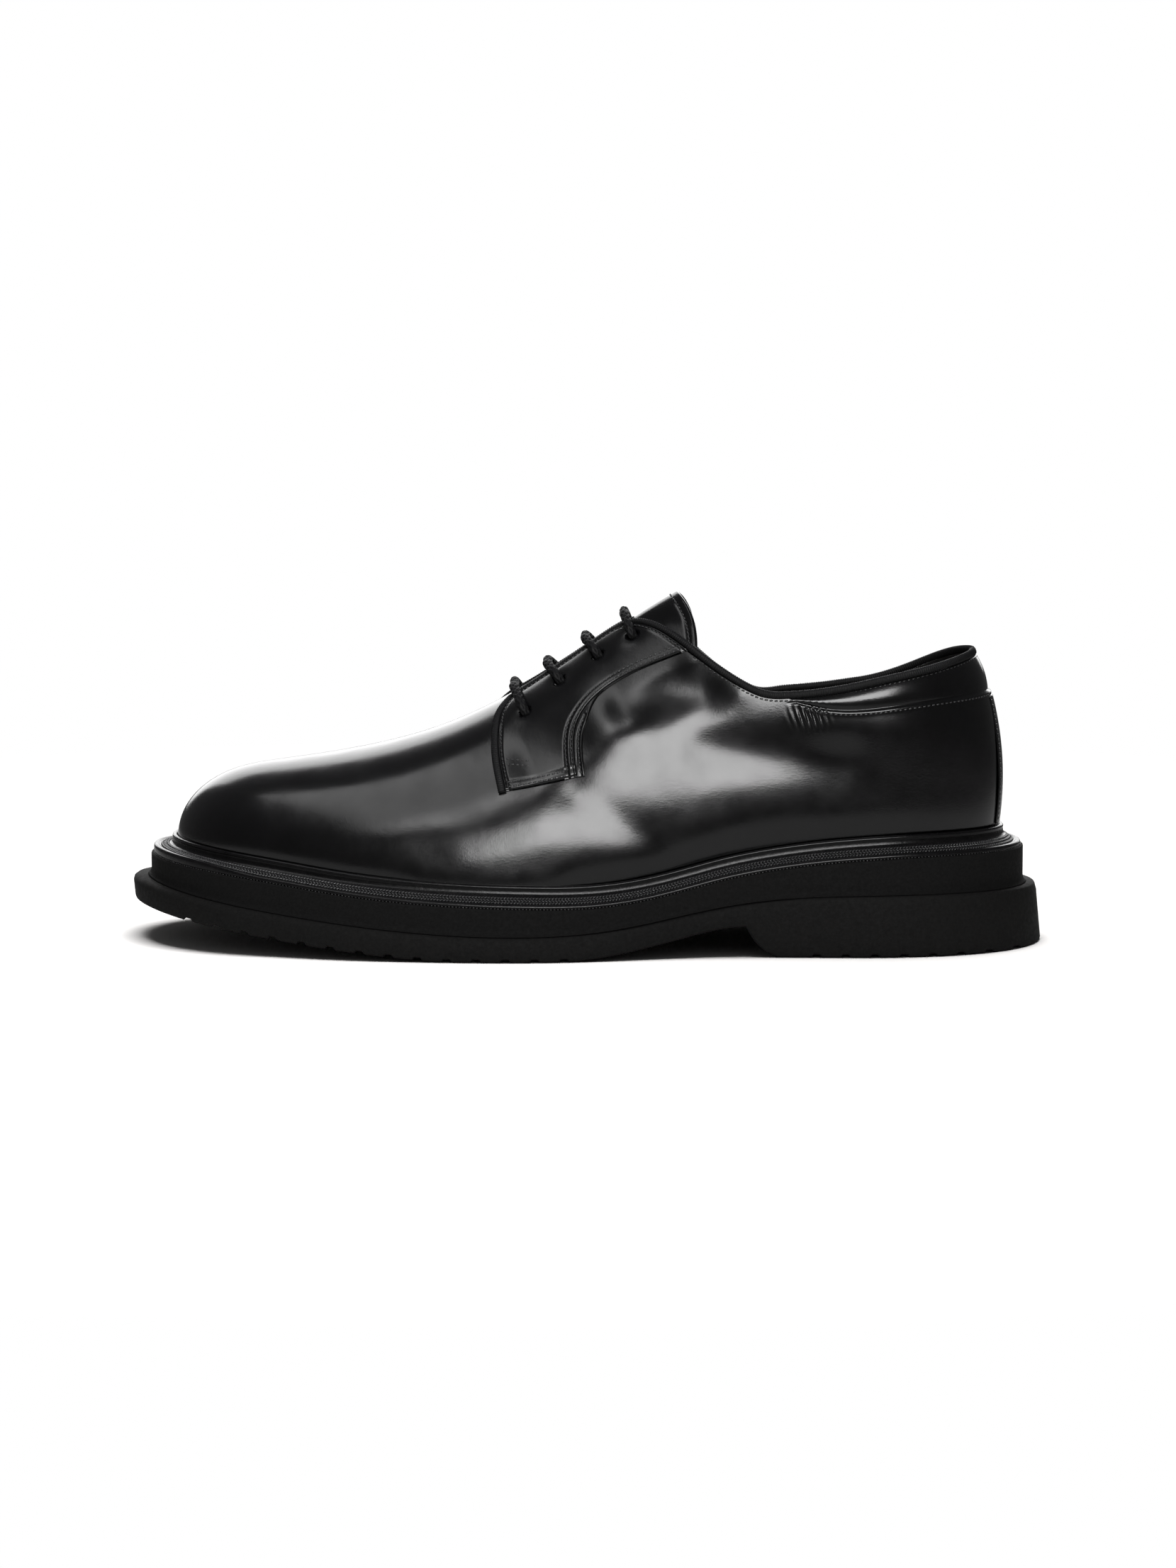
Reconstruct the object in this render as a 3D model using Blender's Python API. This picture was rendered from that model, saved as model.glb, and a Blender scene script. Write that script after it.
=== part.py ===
"""Black derby shoe for the left foot, built as separate closed solids.

Sizes are in millimetres and become metres when a mesh is made.  X runs along the foot
with the toe at -X, -Y is the outer (lateral) side, +Z is up and the floor is z = 0.
"""
import math

import bmesh
import bpy
import numpy as np

MM = 0.001
# Puts the origin under the middle of the outsole's outline.
FRAME_SHIFT = (0.25, 0.6, 0.0)
LATERAL = -1.0
MEDIAL = 1.0
SIDES = (LATERAL, MEDIAL)

# The last: one row per station along the foot.  Heights are above the floor, half widths
# run from the axis to the widest level, tucks are how far the feather line sits inside it.
LAST_COLUMNS = ("x", "axis", "feather", "ridge", "lateral", "medial", "tuck_lat", "tuck_med", "crown")
LAST_TABLE = (
    (-140.0, 6.0, 32.3, 55.0, 27.0, 25.5, 0.6, 0.6, 2.20),
    (-110.0, 5.2, 29.2, 58.4, 36.4, 30.6, 1.4, 1.4, 2.15),
    (-80.0, 4.2, 25.3, 62.8, 44.6, 38.6, 1.2, 2.2, 2.05),
    (-50.0, 3.2, 22.7, 70.6, 48.0, 43.6, 0.8, 2.6, 1.90),
    (-20.0, 2.1, 21.6, 85.2, 48.2, 41.6, 0.8, 3.2, 1.72),
    (5.0, 1.2, 21.9, 101.8, 46.2, 36.2, 2.6, 4.0, 1.62),
    (25.0, 0.3, 24.9, 114.2, 42.4, 32.4, 3.6, 4.4, 1.62),
    (45.0, -0.7, 29.8, 125.8, 38.4, 31.0, 3.6, 4.4, 1.72),
    (65.0, -1.7, 33.4, 136.0, 35.8, 31.2, 3.2, 3.6, 1.90),
    (90.0, -2.8, 36.0, 144.0, 34.0, 32.0, 2.6, 2.8, 2.10),
    (115.0, -3.6, 37.0, 149.0, 33.4, 32.2, 2.4, 2.4, 2.20),
    (140.0, -4.2, 36.9, 151.0, 33.0, 32.0, 2.4, 2.4, 2.20),
)
TUCK_HEIGHT = 18.0
TOE_TIP = -138.0
TOE_START = -103.5
TOE_POWER = 2.8
HEEL_START = 84.0
HEEL_BACK = 138.8
HEEL_BULGE_HEIGHT = 54.0
HEEL_BEND = 0.0046
HEEL_POWER = 2.3

# Upper: wall, throat slot and the height of the opening's edge below the ridge line.
WALL = 2.0
GAP = 0.3
THROAT_FRONT = -22.0
THROAT_ROUND = 8.0
EDGE_COLUMNS = ("x", "drop")
EDGE_TABLE = (
    (-34.0, 1.7),
    (-14.0, 1.6),
    (6.0, 1.6),
    (15.0, 2.6),
    (24.0, 9.1),
    (34.0, 21.0),
    (42.0, 31.2),
    (52.0, 42.8),
    (58.0, 48.3),
    (66.0, 52.4),
    (80.0, 55.9),
    (98.0, 56.9),
    (115.0, 56.5),
    (132.0, 53.9),
)
MEDIAL_DIP_COLUMNS = ("at", "spread", "depth")
MEDIAL_DIP_TABLE = ((-2.0, 42.0, 1.8), (54.0, 38.0, 5.2), (96.0, 32.0, 5.2))

# Collar panel above the heel seam: it lies deeper than the quarter by the seam step.
SEAM_COLUMNS = ("x", "z")
SEAM_TABLE = ((68.0, 80.2), (82.0, 79.6), (98.0, 80.6), (115.0, 81.9), (138.0, 82.9))
SEAM_START = 69.0
SEAM_STEP = 0.7
SEAM_HALF_WIDTH = 0.35
SEAM_DIP_SHARE = 0.9

# Facings (eyestay overlays): outlines in side view, as x and z on the upper.
FACING_THICK = 1.3
FACING_FRONT_X = -23.6
FACING_REAR_X = 33.5
FACING_FRONT = ((-26.8, 78.0), (-28.6, 72.4), (-28.6, 64.5), (-26.4, 53.8))
FACING_REAR = ((24.5, 95.5), (12.0, 90.0), (3.0, 83.5), (-3.2, 74.5), (-2.8, 66.5), (0.0, 59.0))

# Edge binding: a bead that caps the cut edges of facings and collar.
BEAD_WIDTH = 2.5
BEAD_PROUD = 0.5
BEAD_INNER = 0.2
BEAD_CLEAR_FROM = -11.0

# Tongue, backstay and lace bars.
TONGUE_THICK = 1.7
TONGUE_CLEAR = 0.6
TONGUE_FRONT = -42.0
TONGUE_BACK = 30.2
TONGUE_ARCH_COLUMNS = ("x", "width", "rise")
TONGUE_ARCH_TABLE = (
    (0.0, 0.25, 0.0),
    (8.0, 0.28, 0.8),
    (13.0, 0.31, 1.6),
    (17.0, 0.39, 2.0),
    (21.0, 0.50, 2.2),
    (25.0, 0.63, 2.3),
    (30.2, 0.80, 2.3),
)
TONGUE_SPAN = 35.0
TONGUE_LEAN = 5.7
BACKSTAY_THICK = 0.9
BACKSTAY_HALF_ANGLE = 15.0
BACKSTAY_TOP = 81.5
BACKSTAY_BOTTOM_CLEAR = 3.0
LACE_RADIUS = 1.55
LACE_SIDES = 6
LACE_FORWARD = (3.4, 3.7, 3.6, 1.8)
LACE_SAG = 1.4
LACE_SAG_FROM = 0.25
LACE_COLUMNS = ("x", "z")
LACE_HOLES = ((-20.0, 77.6), (-8.4, 87.6), (4.2, 96.0), (15.6, 102.6))
HOLE_RADIUS = 1.9
HOLE_SIDES = 6
HOLE_REACH = 3.4

# Sole: heights along the foot and how far each layer stands out from the feather line.
LEDGE_COLUMNS = ("x", "z")
LEDGE_TABLE = (
    (-150.0, 21.2),
    (-110.0, 15.2),
    (-80.0, 11.6),
    (-50.0, 9.0),
    (-20.0, 8.2),
    (5.0, 9.6),
    (25.0, 12.9),
    (45.0, 16.8),
    (65.0, 19.2),
    (90.0, 20.1),
    (115.0, 20.2),
    (150.0, 19.6),
)
WELT_OUT = 8.0
WELT_IN = -6.0
WELT_TOP = -0.3
WELT_BOTTOM = -4.3
MIDSOLE_OUT = 8.9
MIDSOLE_TOP = -4.6
MIDSOLE_CORE = -6.4
MIDSOLE_FOOT = 1.2
INSOLE_OUT = -2.8
INSOLE_BOTTOM = 0.1
INSOLE_TOP = 3.0
OUTSOLE_COLUMNS = ("x", "ledge", "bottom", "round")
OUTSOLE_TABLE = (
    (-137.5, 15.0, 14.4, 2.8),
    (-122.0, 13.0, 12.8, 2.0),
    (-95.0, 11.6, 11.9, 1.2),
    (-50.0, 11.2, 11.6, 1.0),
    (0.0, 11.0, 11.3, 1.0),
    (40.0, 10.2, 10.4, 0.8),
    (70.0, 11.0, 11.8, 0.9),
    (110.0, 11.8, 13.2, 0.6),
    (138.0, 13.0, 15.0, 0.4),
)
TOE_SPRING = 13.0
FLAT_FRONT = -46.0
FLAT_BACK = -6.0
TOE_REACH = 106.0
TOE_CURVE = 1.35
WAIST_TABLE = ((-6.0, 0.0), (4.0, 0.9), (18.0, 3.4), (32.0, 6.6), (46.0, 9.6), (52.5, 10.2))
BREAST_TABLE = ((52.5, 10.2), (55.2, 5.6), (58.4, 2.2), (63.0, 0.0))
LUG_PITCH = 9.6
LUG_DEPTH = 0.9
LUG_ZONES = ((-140.0, -2.0), (68.0, 147.0))


def natural_spline(knots, values):
    """A smooth curve through the knots that runs on straight beyond both ends."""
    knots = np.asarray(knots, float)
    values = np.asarray(values, float)
    count = len(knots)
    step = np.diff(knots)
    slope = np.diff(values) / step
    matrix = np.eye(count)
    right = np.zeros(count)
    for i in range(1, count - 1):
        matrix[i, i - 1:i + 2] = step[i - 1], 2.0 * (step[i - 1] + step[i]), step[i]
        right[i] = 6.0 * (slope[i] - slope[i - 1])
    bend = np.linalg.solve(matrix, right)
    first_slope = slope[0] - step[0] * bend[1] / 6.0
    last_slope = slope[-1] + step[-1] * bend[-2] / 6.0

    def curve(x):
        x = np.asarray(x, float)
        inside = np.clip(x, knots[0], knots[-1])
        k = np.clip(np.searchsorted(knots, inside) - 1, 0, count - 2)
        h = step[k]
        a = (knots[k + 1] - inside) / h
        b = 1.0 - a
        value = a * values[k] + b * values[k + 1]
        value = value + ((a ** 3 - a) * bend[k] + (b ** 3 - b) * bend[k + 1]) * h * h / 6.0
        before = np.minimum(x - knots[0], 0.0) * first_slope
        after = np.maximum(x - knots[-1], 0.0) * last_slope
        return value + before + after

    return curve


def table_curves(columns, rows):
    """One spline over x for every other named column of a table."""
    data = np.asarray(rows, float)
    return {name: natural_spline(data[:, 0], data[:, i]) for i, name in enumerate(columns) if i > 0}


last = table_curves(LAST_COLUMNS, LAST_TABLE)
edge_drop = table_curves(EDGE_COLUMNS, EDGE_TABLE)["drop"]
seam_height = table_curves(SEAM_COLUMNS, SEAM_TABLE)["z"]
ledge_height = table_curves(LEDGE_COLUMNS, LEDGE_TABLE)["z"]
outsole_out = table_curves(OUTSOLE_COLUMNS, OUTSOLE_TABLE)
axis, feather, ridge, crown = last["axis"], last["feather"], last["ridge"], last["crown"]


def smooth_step(t):
    t = np.clip(t, 0.0, 1.0)
    return t * t * (3.0 - 2.0 * t)


def toe_round(x):
    t = np.clip((TOE_START - x) / (TOE_START - TOE_TIP), 0.0, 1.0)
    return t ** TOE_POWER


def heel_back(z):
    return HEEL_BACK - HEEL_BEND * (z - HEEL_BULGE_HEIGHT) ** 2


def heel_round(x, z):
    s = np.clip((x - HEEL_START) / (heel_back(z) - HEEL_START), 0.0, 1.0)
    return s ** HEEL_POWER


def reach(x, z, side):
    """Half width of the last's box at a level, without the rounding of crown and ends."""
    wide = np.where(side < 0, last["lateral"](x), last["medial"](x))
    tuck = np.where(side < 0, last["tuck_lat"](x), last["tuck_med"](x))
    level = np.minimum((z - feather(x)) / TUCK_HEIGHT, 1.0)
    return wide - tuck * (1.0 - level) ** 3


def crown_part(x, z):
    share = np.clip((z - feather(x)) / (ridge(x) - feather(x)), 0.0, 1.0)
    return share ** crown(x)


def half_width(x, z, side):
    """Distance from the axis to the outside of the upper at a place seen from the side."""
    inside = (1.0 - crown_part(x, z) - toe_round(x)) * (1.0 - heel_round(x, z))
    return reach(x, z, side) * np.sqrt(np.maximum(inside, 0.0))


def field(x, y, z, side):
    """Zero on the outside of the upper, negative inside it."""
    inside = (1.0 - crown_part(x, z) - toe_round(x)) * (1.0 - heel_round(x, z))
    return ((y - axis(x)) / reach(x, z, side)) ** 2 - inside


def normals(points, side):
    h = 0.05
    x, y, z = points[..., 0], points[..., 1], points[..., 2]
    grad = np.stack((
        field(x + h, y, z, side) - field(x - h, y, z, side),
        field(x, y + h, z, side) - field(x, y - h, z, side),
        field(x, y, z + h, side) - field(x, y, z - h, side),
    ), axis=-1)
    return grad / np.linalg.norm(grad, axis=-1, keepdims=True)


def lifted(points, side, distance):
    distance = np.asarray(distance, float)
    return points + normals(points, side) * distance[..., None]


def at_side(x, z, side):
    """The point of the upper at a place drawn in side view."""
    x, z = np.broadcast_arrays(np.asarray(x, float), np.asarray(z, float))
    return np.stack((x, axis(x) + side * half_width(x, z, side), z), axis=-1)


def at_angle(x, angle, side):
    """The point of the upper at a section angle: 0 at the feather line, 90 degrees on the ridge."""
    x, angle = np.broadcast_arrays(np.asarray(x, float), np.asarray(angle, float))
    full = np.sqrt(1.0 - toe_round(x))
    z = feather(x) + (ridge(x) - feather(x)) * (full * np.sin(angle)) ** (2.0 / crown(x))
    y = axis(x) + side * reach(x, z, side) * full * np.cos(angle)
    return np.stack((x, y, z), axis=-1)


def angle_of(x, z):
    full = np.sqrt(1.0 - toe_round(x))
    return np.arcsin(np.clip(np.sqrt(crown_part(x, z)) / full, 0.0, 1.0))


def at_heel(turn, z, side):
    """The point of the upper around the heel: turn 0 at the side, 90 degrees on the back seam."""
    turn, z = np.broadcast_arrays(np.asarray(turn, float), np.asarray(z, float))
    s = np.sin(turn) ** (2.0 / HEEL_POWER)
    x = HEEL_START + (heel_back(z) - HEEL_START) * s
    y = axis(x) + side * reach(x, z, side) * np.sqrt(1.0 - crown_part(x, z)) * np.cos(turn)
    return np.stack((x, y, z), axis=-1)


def medial_dip(x, side):
    """How much lower the collar runs on the medial side."""
    dip = np.zeros(np.shape(x))
    for at, spread, depth in MEDIAL_DIP_TABLE:
        t = np.clip(np.abs(x - at) / spread, 0.0, 1.0)
        dip = dip + np.where(side > 0, depth * (1.0 - t * t) ** 2, 0.0)
    return dip


def seam_level(x, side):
    """Height of the seam between quarter and collar panel."""
    return seam_height(x) - SEAM_DIP_SHARE * medial_dip(x, side)


def lowered(x, z, side):
    """A height of the lateral side carried over to a side, with the medial dip."""
    return z - float(medial_dip(x, side))


def full_drop(x, side):
    """How far the edge lies below the ridge line; the medial collar dips a little lower."""
    return edge_drop(x) + medial_dip(x, side)


def edge_height(x, side):
    """Height of the cut edge of the upper behind the front of the throat."""
    return ridge(x) - full_drop(x, side) * smooth_step((x - THROAT_FRONT) / THROAT_ROUND)


def heel_edge_height(turn, side):
    z = 97.0
    for _ in range(8):
        z = float(edge_height(at_heel(turn, z, side)[0], side))
    return z


# Closed meshes

class Solid:
    """Collects faces over welded points and makes one closed mesh object of them."""

    def __init__(self, name):
        self.name = name
        self.points = []
        self.faces = []
        self.index = {}

    def vertex(self, point):
        key = tuple(round(float(c), 4) for c in point)
        if key not in self.index:
            self.index[key] = len(self.points)
            self.points.append(key)
        return self.index[key]

    def face(self, *corners):
        ids = []
        for corner in corners:
            i = self.vertex(corner)
            if i not in ids:
                ids.append(i)
        if len(ids) > 2:
            self.faces.append(ids)

    def sheet(self, grid, wrap_rows=False, wrap_columns=False):
        rows, columns = len(grid), len(grid[0])
        for i in range(rows if wrap_rows else rows - 1):
            for j in range(columns if wrap_columns else columns - 1):
                a, b = grid[i], grid[(i + 1) % rows]
                k = (j + 1) % columns
                self.face(a[j], a[k], b[k], b[j])

    def shell(self, outer, inner):
        """A curved plate between two grids of the same size."""
        self.sheet(outer)
        self.sheet(inner)
        self.sheet((outer[0], inner[0]))
        self.sheet((outer[-1], inner[-1]))
        self.sheet(([row[0] for row in outer], [row[0] for row in inner]))
        self.sheet(([row[-1] for row in outer], [row[-1] for row in inner]))

    def sweep(self, sections, closed):
        """A closed profile carried along a path; an open path gets flat ends."""
        self.sheet(sections, wrap_rows=closed, wrap_columns=True)
        if not closed:
            self.face(*sections[0])
            self.face(*sections[-1])

    def make(self, shade):
        mesh = bpy.data.meshes.new(self.name)
        placed = (np.asarray(self.points) + FRAME_SHIFT) * MM
        mesh.from_pydata(placed.tolist(), [], self.faces)
        body = bmesh.new()
        body.from_mesh(mesh)
        bmesh.ops.triangulate(body, faces=body.faces[:], quad_method="SHORT_EDGE")
        bmesh.ops.recalc_face_normals(body, faces=body.faces[:])
        body.to_mesh(mesh)
        body.free()
        made = bpy.data.objects.new(self.name, mesh)
        bpy.context.scene.collection.objects.link(made)
        made.data.materials.append(shade)
        return made


def material(name, colour):
    shade = bpy.data.materials.new(name)
    shade.diffuse_color = (*colour, 1.0)
    return shade


# Upper

UPPER_ROWS = 10
SEAM_ROW = 6
TOE_TURNS = (0.0, 9.0, 18.0, 28.0, 40.0, 54.0, 70.0, 90.0)
UPPER_STATIONS = (-94.0, -84.0, -74.0, -64.0, -54.0, -45.0, -36.0, -28.5, -22.0, -21.3, -19.5, -17.0,
                  -13.0, -8.0, -2.0, 4.0, 9.0, 13.0, 17.0, 21.0, 25.5, 31.0, 37.0, 43.0, 49.0, 54.0,
                  58.5, 62.0, 65.5, 69.0, 73.0, 78.0, 84.0)
HEEL_TURNS = (5.0, 13.0, 23.0, 34.0, 46.0, 57.0, 68.0, 79.0, 90.0)
upper_fractions = np.linspace(0.0, 1.0, UPPER_ROWS + 1)


def even_rows(path, wanted):
    """Places along a dense polyline at even shares of its length."""
    length = np.concatenate(([0.0], np.cumsum(np.linalg.norm(np.diff(path, axis=0), axis=1))))
    if length[-1] < 1e-6:
        return np.zeros(len(wanted))
    return np.interp(np.asarray(wanted) * length[-1], length, np.linspace(0.0, 1.0, len(path)))


def seam_rows(bottom, top, x, side):
    """Row heights that close up on both sides of the collar seam."""
    seam = float(seam_level(x, side))
    below = np.linspace(bottom, seam - SEAM_HALF_WIDTH, SEAM_ROW + 1)
    above = np.linspace(seam + SEAM_HALF_WIDTH, top, UPPER_ROWS - SEAM_ROW)
    return np.concatenate((below, above))


def upper_column(kind, place, side):
    """One column of the upper from the feather line to the ridge or the cut edge."""
    recess = np.zeros(UPPER_ROWS + 1)
    if kind == "section":
        top = math.pi / 2
        if place > THROAT_FRONT:
            top = float(angle_of(place, edge_height(place, side)))
        if place >= SEAM_START:
            z = seam_rows(float(feather(place)), float(edge_height(place, side)), place, side)
            points = at_side(place, z, side)
            recess[SEAM_ROW + 1:] = SEAM_STEP * smooth_step((place - SEAM_START + 4.0) / 8.0)
        else:
            dense = np.linspace(0.0, top, 181)
            share = even_rows(at_angle(place, dense, side), upper_fractions)
            points = at_angle(place, share * top, side)
    else:
        bottom = at_heel(place, 37.0, side)
        z = seam_rows(float(feather(bottom[0])), heel_edge_height(place, side), float(bottom[0]), side)
        points = at_heel(place, z, side)
        recess[SEAM_ROW + 1:] = SEAM_STEP
    outer = lifted(points, side, -recess)
    inner = lifted(points, side, np.full(UPPER_ROWS + 1, -WALL))
    flat = normals(points[:1], side)[0] * (1.0, 1.0, 0.0)
    inner[0] = points[0] - flat / np.linalg.norm(flat) * WALL
    if place == TOE_TIP:
        inner[:] = inner[0]
    return outer, inner


def upper_columns():
    toe_x = TOE_TIP + (TOE_START - TOE_TIP) * (1.0 - np.cos(np.radians(TOE_TURNS)))
    places = [("section", float(x)) for x in toe_x]
    places += [("section", x) for x in UPPER_STATIONS]
    places += [("heel", math.radians(turn)) for turn in HEEL_TURNS]
    return places


def build_upper(shade):
    solid = Solid("upper")
    places = upper_columns()
    throat = [i for i, (kind, x) in enumerate(places) if kind == "section" and x == THROAT_FRONT][0]
    for side in SIDES:
        columns = [upper_column(kind, place, side) for kind, place in places]
        outer = [column[0] for column in columns]
        inner = [column[1] for column in columns]
        solid.sheet(outer)
        solid.sheet(inner)
        solid.sheet(([column[0] for column in outer], [column[0] for column in inner]))
        solid.sheet(([column[-1] for column in outer[throat:]], [column[-1] for column in inner[throat:]]))
    return solid.make(shade)


# Facings

def facing_grid(side, along=9, down=7):
    """Section places of a facing, between its bound top and front edges and its seams."""
    a = np.linspace(0.0, 1.0, along + 1)
    b = np.linspace(0.0, 1.0, down + 1)
    top_x = FACING_FRONT_X + (FACING_REAR_X - FACING_FRONT_X) * a
    top = np.stack((top_x, angle_of(top_x, facing_edge(top_x, side))), axis=-1)
    front = edge_line([(FACING_FRONT_X, float(top[0, 1]))], FACING_FRONT, b, side)
    rear = edge_line([(FACING_REAR_X, float(top[-1, 1]))], FACING_REAR, b, side)
    low_x = front[-1, 0] + (rear[-1, 0] - front[-1, 0]) * a
    low = np.stack((low_x, front[-1, 1] + (rear[-1, 1] - front[-1, 1]) * a), axis=-1)
    a = a[None, :, None]
    b = b[:, None, None]
    ruled_down = (1 - b) * top[None] + b * low[None]
    ruled_along = (1 - a) * front[:, None] + a * rear[:, None]
    corners = (1 - a) * (1 - b) * top[0] + a * (1 - b) * top[-1] + (1 - a) * b * low[0] + a * b * low[-1]
    return ruled_down + ruled_along - corners


def facing_edge(x, side):
    """Height of the facing's top edge, which runs on past the front of the upper's slot."""
    return ridge(x) - full_drop(x, side)


def edge_line(start, side_view, shares, side):
    """Even places along an edge given by a start place and points drawn in side view."""
    places = start + [(x, float(angle_of(x, lowered(x, z, side)))) for x, z in side_view]
    places = np.asarray(places, float)
    girth = np.linalg.norm(np.diff(places * (1.0, 45.0), axis=0), axis=1)
    length = np.concatenate(([0.0], np.cumsum(girth)))
    length = length / length[-1]
    return np.stack((natural_spline(length, places[:, 0])(shares),
                     natural_spline(length, places[:, 1])(shares)), axis=-1)


def build_facing(name, side, shade):
    grid = facing_grid(side)
    base = at_angle(grid[..., 0], grid[..., 1], side)
    solid = Solid(name)
    solid.shell(lifted(base, side, np.full(base.shape[:2], GAP + FACING_THICK)),
                lifted(base, side, np.full(base.shape[:2], GAP)))
    return solid.make(shade)


# Edge binding

def bead_sections(side):
    """Profiles of the bead from the facing's front corner to the back seam on one side."""
    front = edge_line([(FACING_FRONT_X, float(angle_of(FACING_FRONT_X, facing_edge(FACING_FRONT_X, side))))],
                      FACING_FRONT, np.linspace(1.0, 0.0, 9)[:-1], side)
    shared = [x for x in UPPER_STATIONS if x > 12.0]
    top_x = np.concatenate((np.linspace(FACING_FRONT_X, 11.0, 8), shared))
    top = np.stack((top_x, angle_of(top_x, facing_edge(top_x, side))), axis=-1)
    flat = np.concatenate((front, top))
    base = at_angle(flat[:, 0], flat[:, 1], side)
    turns = np.radians(HEEL_TURNS)
    back = np.array([at_heel(turn, heel_edge_height(turn, side), side) for turn in turns])
    path = np.concatenate((base, back))
    out = normals(path, side)
    run = np.gradient(path, axis=0)
    run[-1] = (0.0, -side, 0.0)
    run -= out * np.sum(run * out, axis=1, keepdims=True)
    run /= np.linalg.norm(run, axis=1, keepdims=True)
    beyond = np.cross(run, out) * side
    x = path[:, 0]
    on_vamp = 1.0 - smooth_step((x - BEAD_CLEAR_FROM) / 4.0)
    on_facing = 1.0 - smooth_step((x - FACING_REAR_X + 1.0) / 5.0)
    low = -WALL - BEAD_INNER + on_vamp * (WALL + BEAD_INNER + GAP)
    high = BEAD_PROUD + on_facing * (GAP + FACING_THICK)
    seam = SEAM_STEP * smooth_step((x - SEAM_START + 4.0) / 8.0)
    high = high - seam
    sections = []
    for k in range(len(path)):
        rim = BEAD_WIDTH
        ease = min(0.8, 0.3 * (high[k] - low[k]))
        profile = ((GAP, low[k]), (GAP, high[k]), (GAP + rim - ease, high[k]), (GAP + rim, high[k] - ease),
                   (GAP + rim, low[k] + ease), (GAP + rim - ease, low[k]))
        sections.append([path[k] + beyond[k] * e + out[k] * n for e, n in profile])
    return sections


def build_binding(shade):
    lateral = bead_sections(LATERAL)
    medial = bead_sections(MEDIAL)
    solid = Solid("edge_binding")
    solid.sweep(lateral + medial[-2::-1], closed=False)
    return solid.make(shade)


# Tongue, backstay and lace bars

def tongue_arch(x, w):
    """How far the tongue swells up between the facings, over places across it from -1 to 1."""
    places, widths, rises = np.transpose(TONGUE_ARCH_TABLE)
    share = np.clip(w / np.interp(x, places, widths), -1.0, 1.0)
    return np.interp(x, places, rises) * (1.0 - share * share) ** 2


def build_tongue(shade):
    stations = np.concatenate((np.linspace(TONGUE_FRONT, 0.0, 4)[:-1], [row[0] for row in TONGUE_ARCH_TABLE]))
    across = np.array((-1.0, -0.8, -0.6, -0.42, -0.26, -0.12, 0.0, 0.12, 0.26, 0.42, 0.6, 0.8, 1.0))
    outer = []
    inner = []
    for x in stations:
        outer_row = []
        inner_row = []
        for w in across:
            side = LATERAL if w < 0 else MEDIAL
            place = x + TONGUE_LEAN * float(smooth_step(abs(w)))
            angle = math.radians(90.0 - TONGUE_SPAN * abs(w))
            base = at_angle(place, angle, side)[None]
            level = -WALL - TONGUE_CLEAR + float(tongue_arch(x, w))
            outer_row.append(lifted(base, side, np.array([level]))[0])
            inner_row.append(lifted(base, side, np.array([level - TONGUE_THICK]))[0])
        outer.append(outer_row)
        inner.append(inner_row)
    solid = Solid("tongue")
    solid.shell(outer, inner)
    return solid.make(shade)


def build_backstay(shade):
    bottom = float(feather(HEEL_BACK)) + BACKSTAY_BOTTOM_CLEAR
    heights = np.linspace(bottom, BACKSTAY_TOP, 9)
    turns = np.linspace(-BACKSTAY_HALF_ANGLE, BACKSTAY_HALF_ANGLE, 7)
    outer = []
    inner = []
    for z in heights:
        rows = ([], [])
        for turn in turns:
            side = LATERAL if turn < 0 else MEDIAL
            base = at_heel(math.radians(90.0 - abs(turn)), z, side)[None]
            rows[0].append(lifted(base, side, np.array([GAP + BACKSTAY_THICK]))[0])
            rows[1].append(lifted(base, side, np.array([GAP]))[0])
        outer.append(rows[0])
        inner.append(rows[1])
    solid = Solid("backstay")
    solid.shell(outer, inner)
    return solid.make(shade)


def lace_path(hole_x, hole_z, forward, count=11):
    """Middle line of a lace bar from the lateral hole over the throat to the medial one."""
    rest = GAP + FACING_THICK + GAP + LACE_RADIUS
    over = rest + BEAD_PROUD
    points = []
    for w in np.linspace(-1.0, 1.0, count):
        side = LATERAL if w < 0 else MEDIAL
        hole_angle = float(angle_of(hole_x, lowered(hole_x, hole_z, side)))
        x = hole_x - forward * (1.0 - abs(w) ** 1.6)
        angle = math.pi / 2 - (math.pi / 2 - hole_angle) * abs(w)
        base = at_angle(x, angle, side)[None]
        lift = rest + (over - rest) * float(smooth_step((1.0 - abs(w)) / 0.35))
        sag = LACE_SAG * max(1.0 - (w / LACE_SAG_FROM) ** 2, 0.0)
        points.append(lifted(base, side, np.array([lift + 0.15 - sag]))[0])
    return np.array(points)


def tube(solid, path, radius, sides):
    run = np.gradient(path, axis=0)
    run /= np.linalg.norm(run, axis=1, keepdims=True)
    sections = []
    for point, direction in zip(path, run):
        flat = np.cross(direction, (1.0, 0.0, 0.0))
        flat /= np.linalg.norm(flat)
        up = np.cross(flat, direction)
        turns = np.arange(sides) * 2.0 * math.pi / sides
        sections.append([point + radius * (math.cos(t) * flat + math.sin(t) * up) for t in turns])
    solid.sweep(sections, closed=False)


def build_laces(shade):
    for number, ((hole_x, hole_z), forward) in enumerate(zip(LACE_HOLES, LACE_FORWARD), start=1):
        solid = Solid("lace_bar_%d" % number)
        tube(solid, lace_path(hole_x, hole_z, forward), LACE_RADIUS, LACE_SIDES)
        solid.make(shade)


def build_eyelet_cutter(shade):
    """Pins at the eyelets, square to the facings, that cut the punched holes."""
    solid = Solid("eyelet_cutter")
    for side in SIDES:
        for hole_x, hole_z in LACE_HOLES:
            middle = at_angle(hole_x, float(angle_of(hole_x, lowered(hole_x, hole_z, side))), side)[None]
            out = normals(middle, side)[0]
            tube(solid, middle + out * np.array([[-HOLE_REACH], [HOLE_REACH]]), HOLE_RADIUS, HOLE_SIDES)
    pins = solid.make(shade)
    pins.hide_render = True
    pins.display_type = "WIRE"
    return pins


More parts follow.
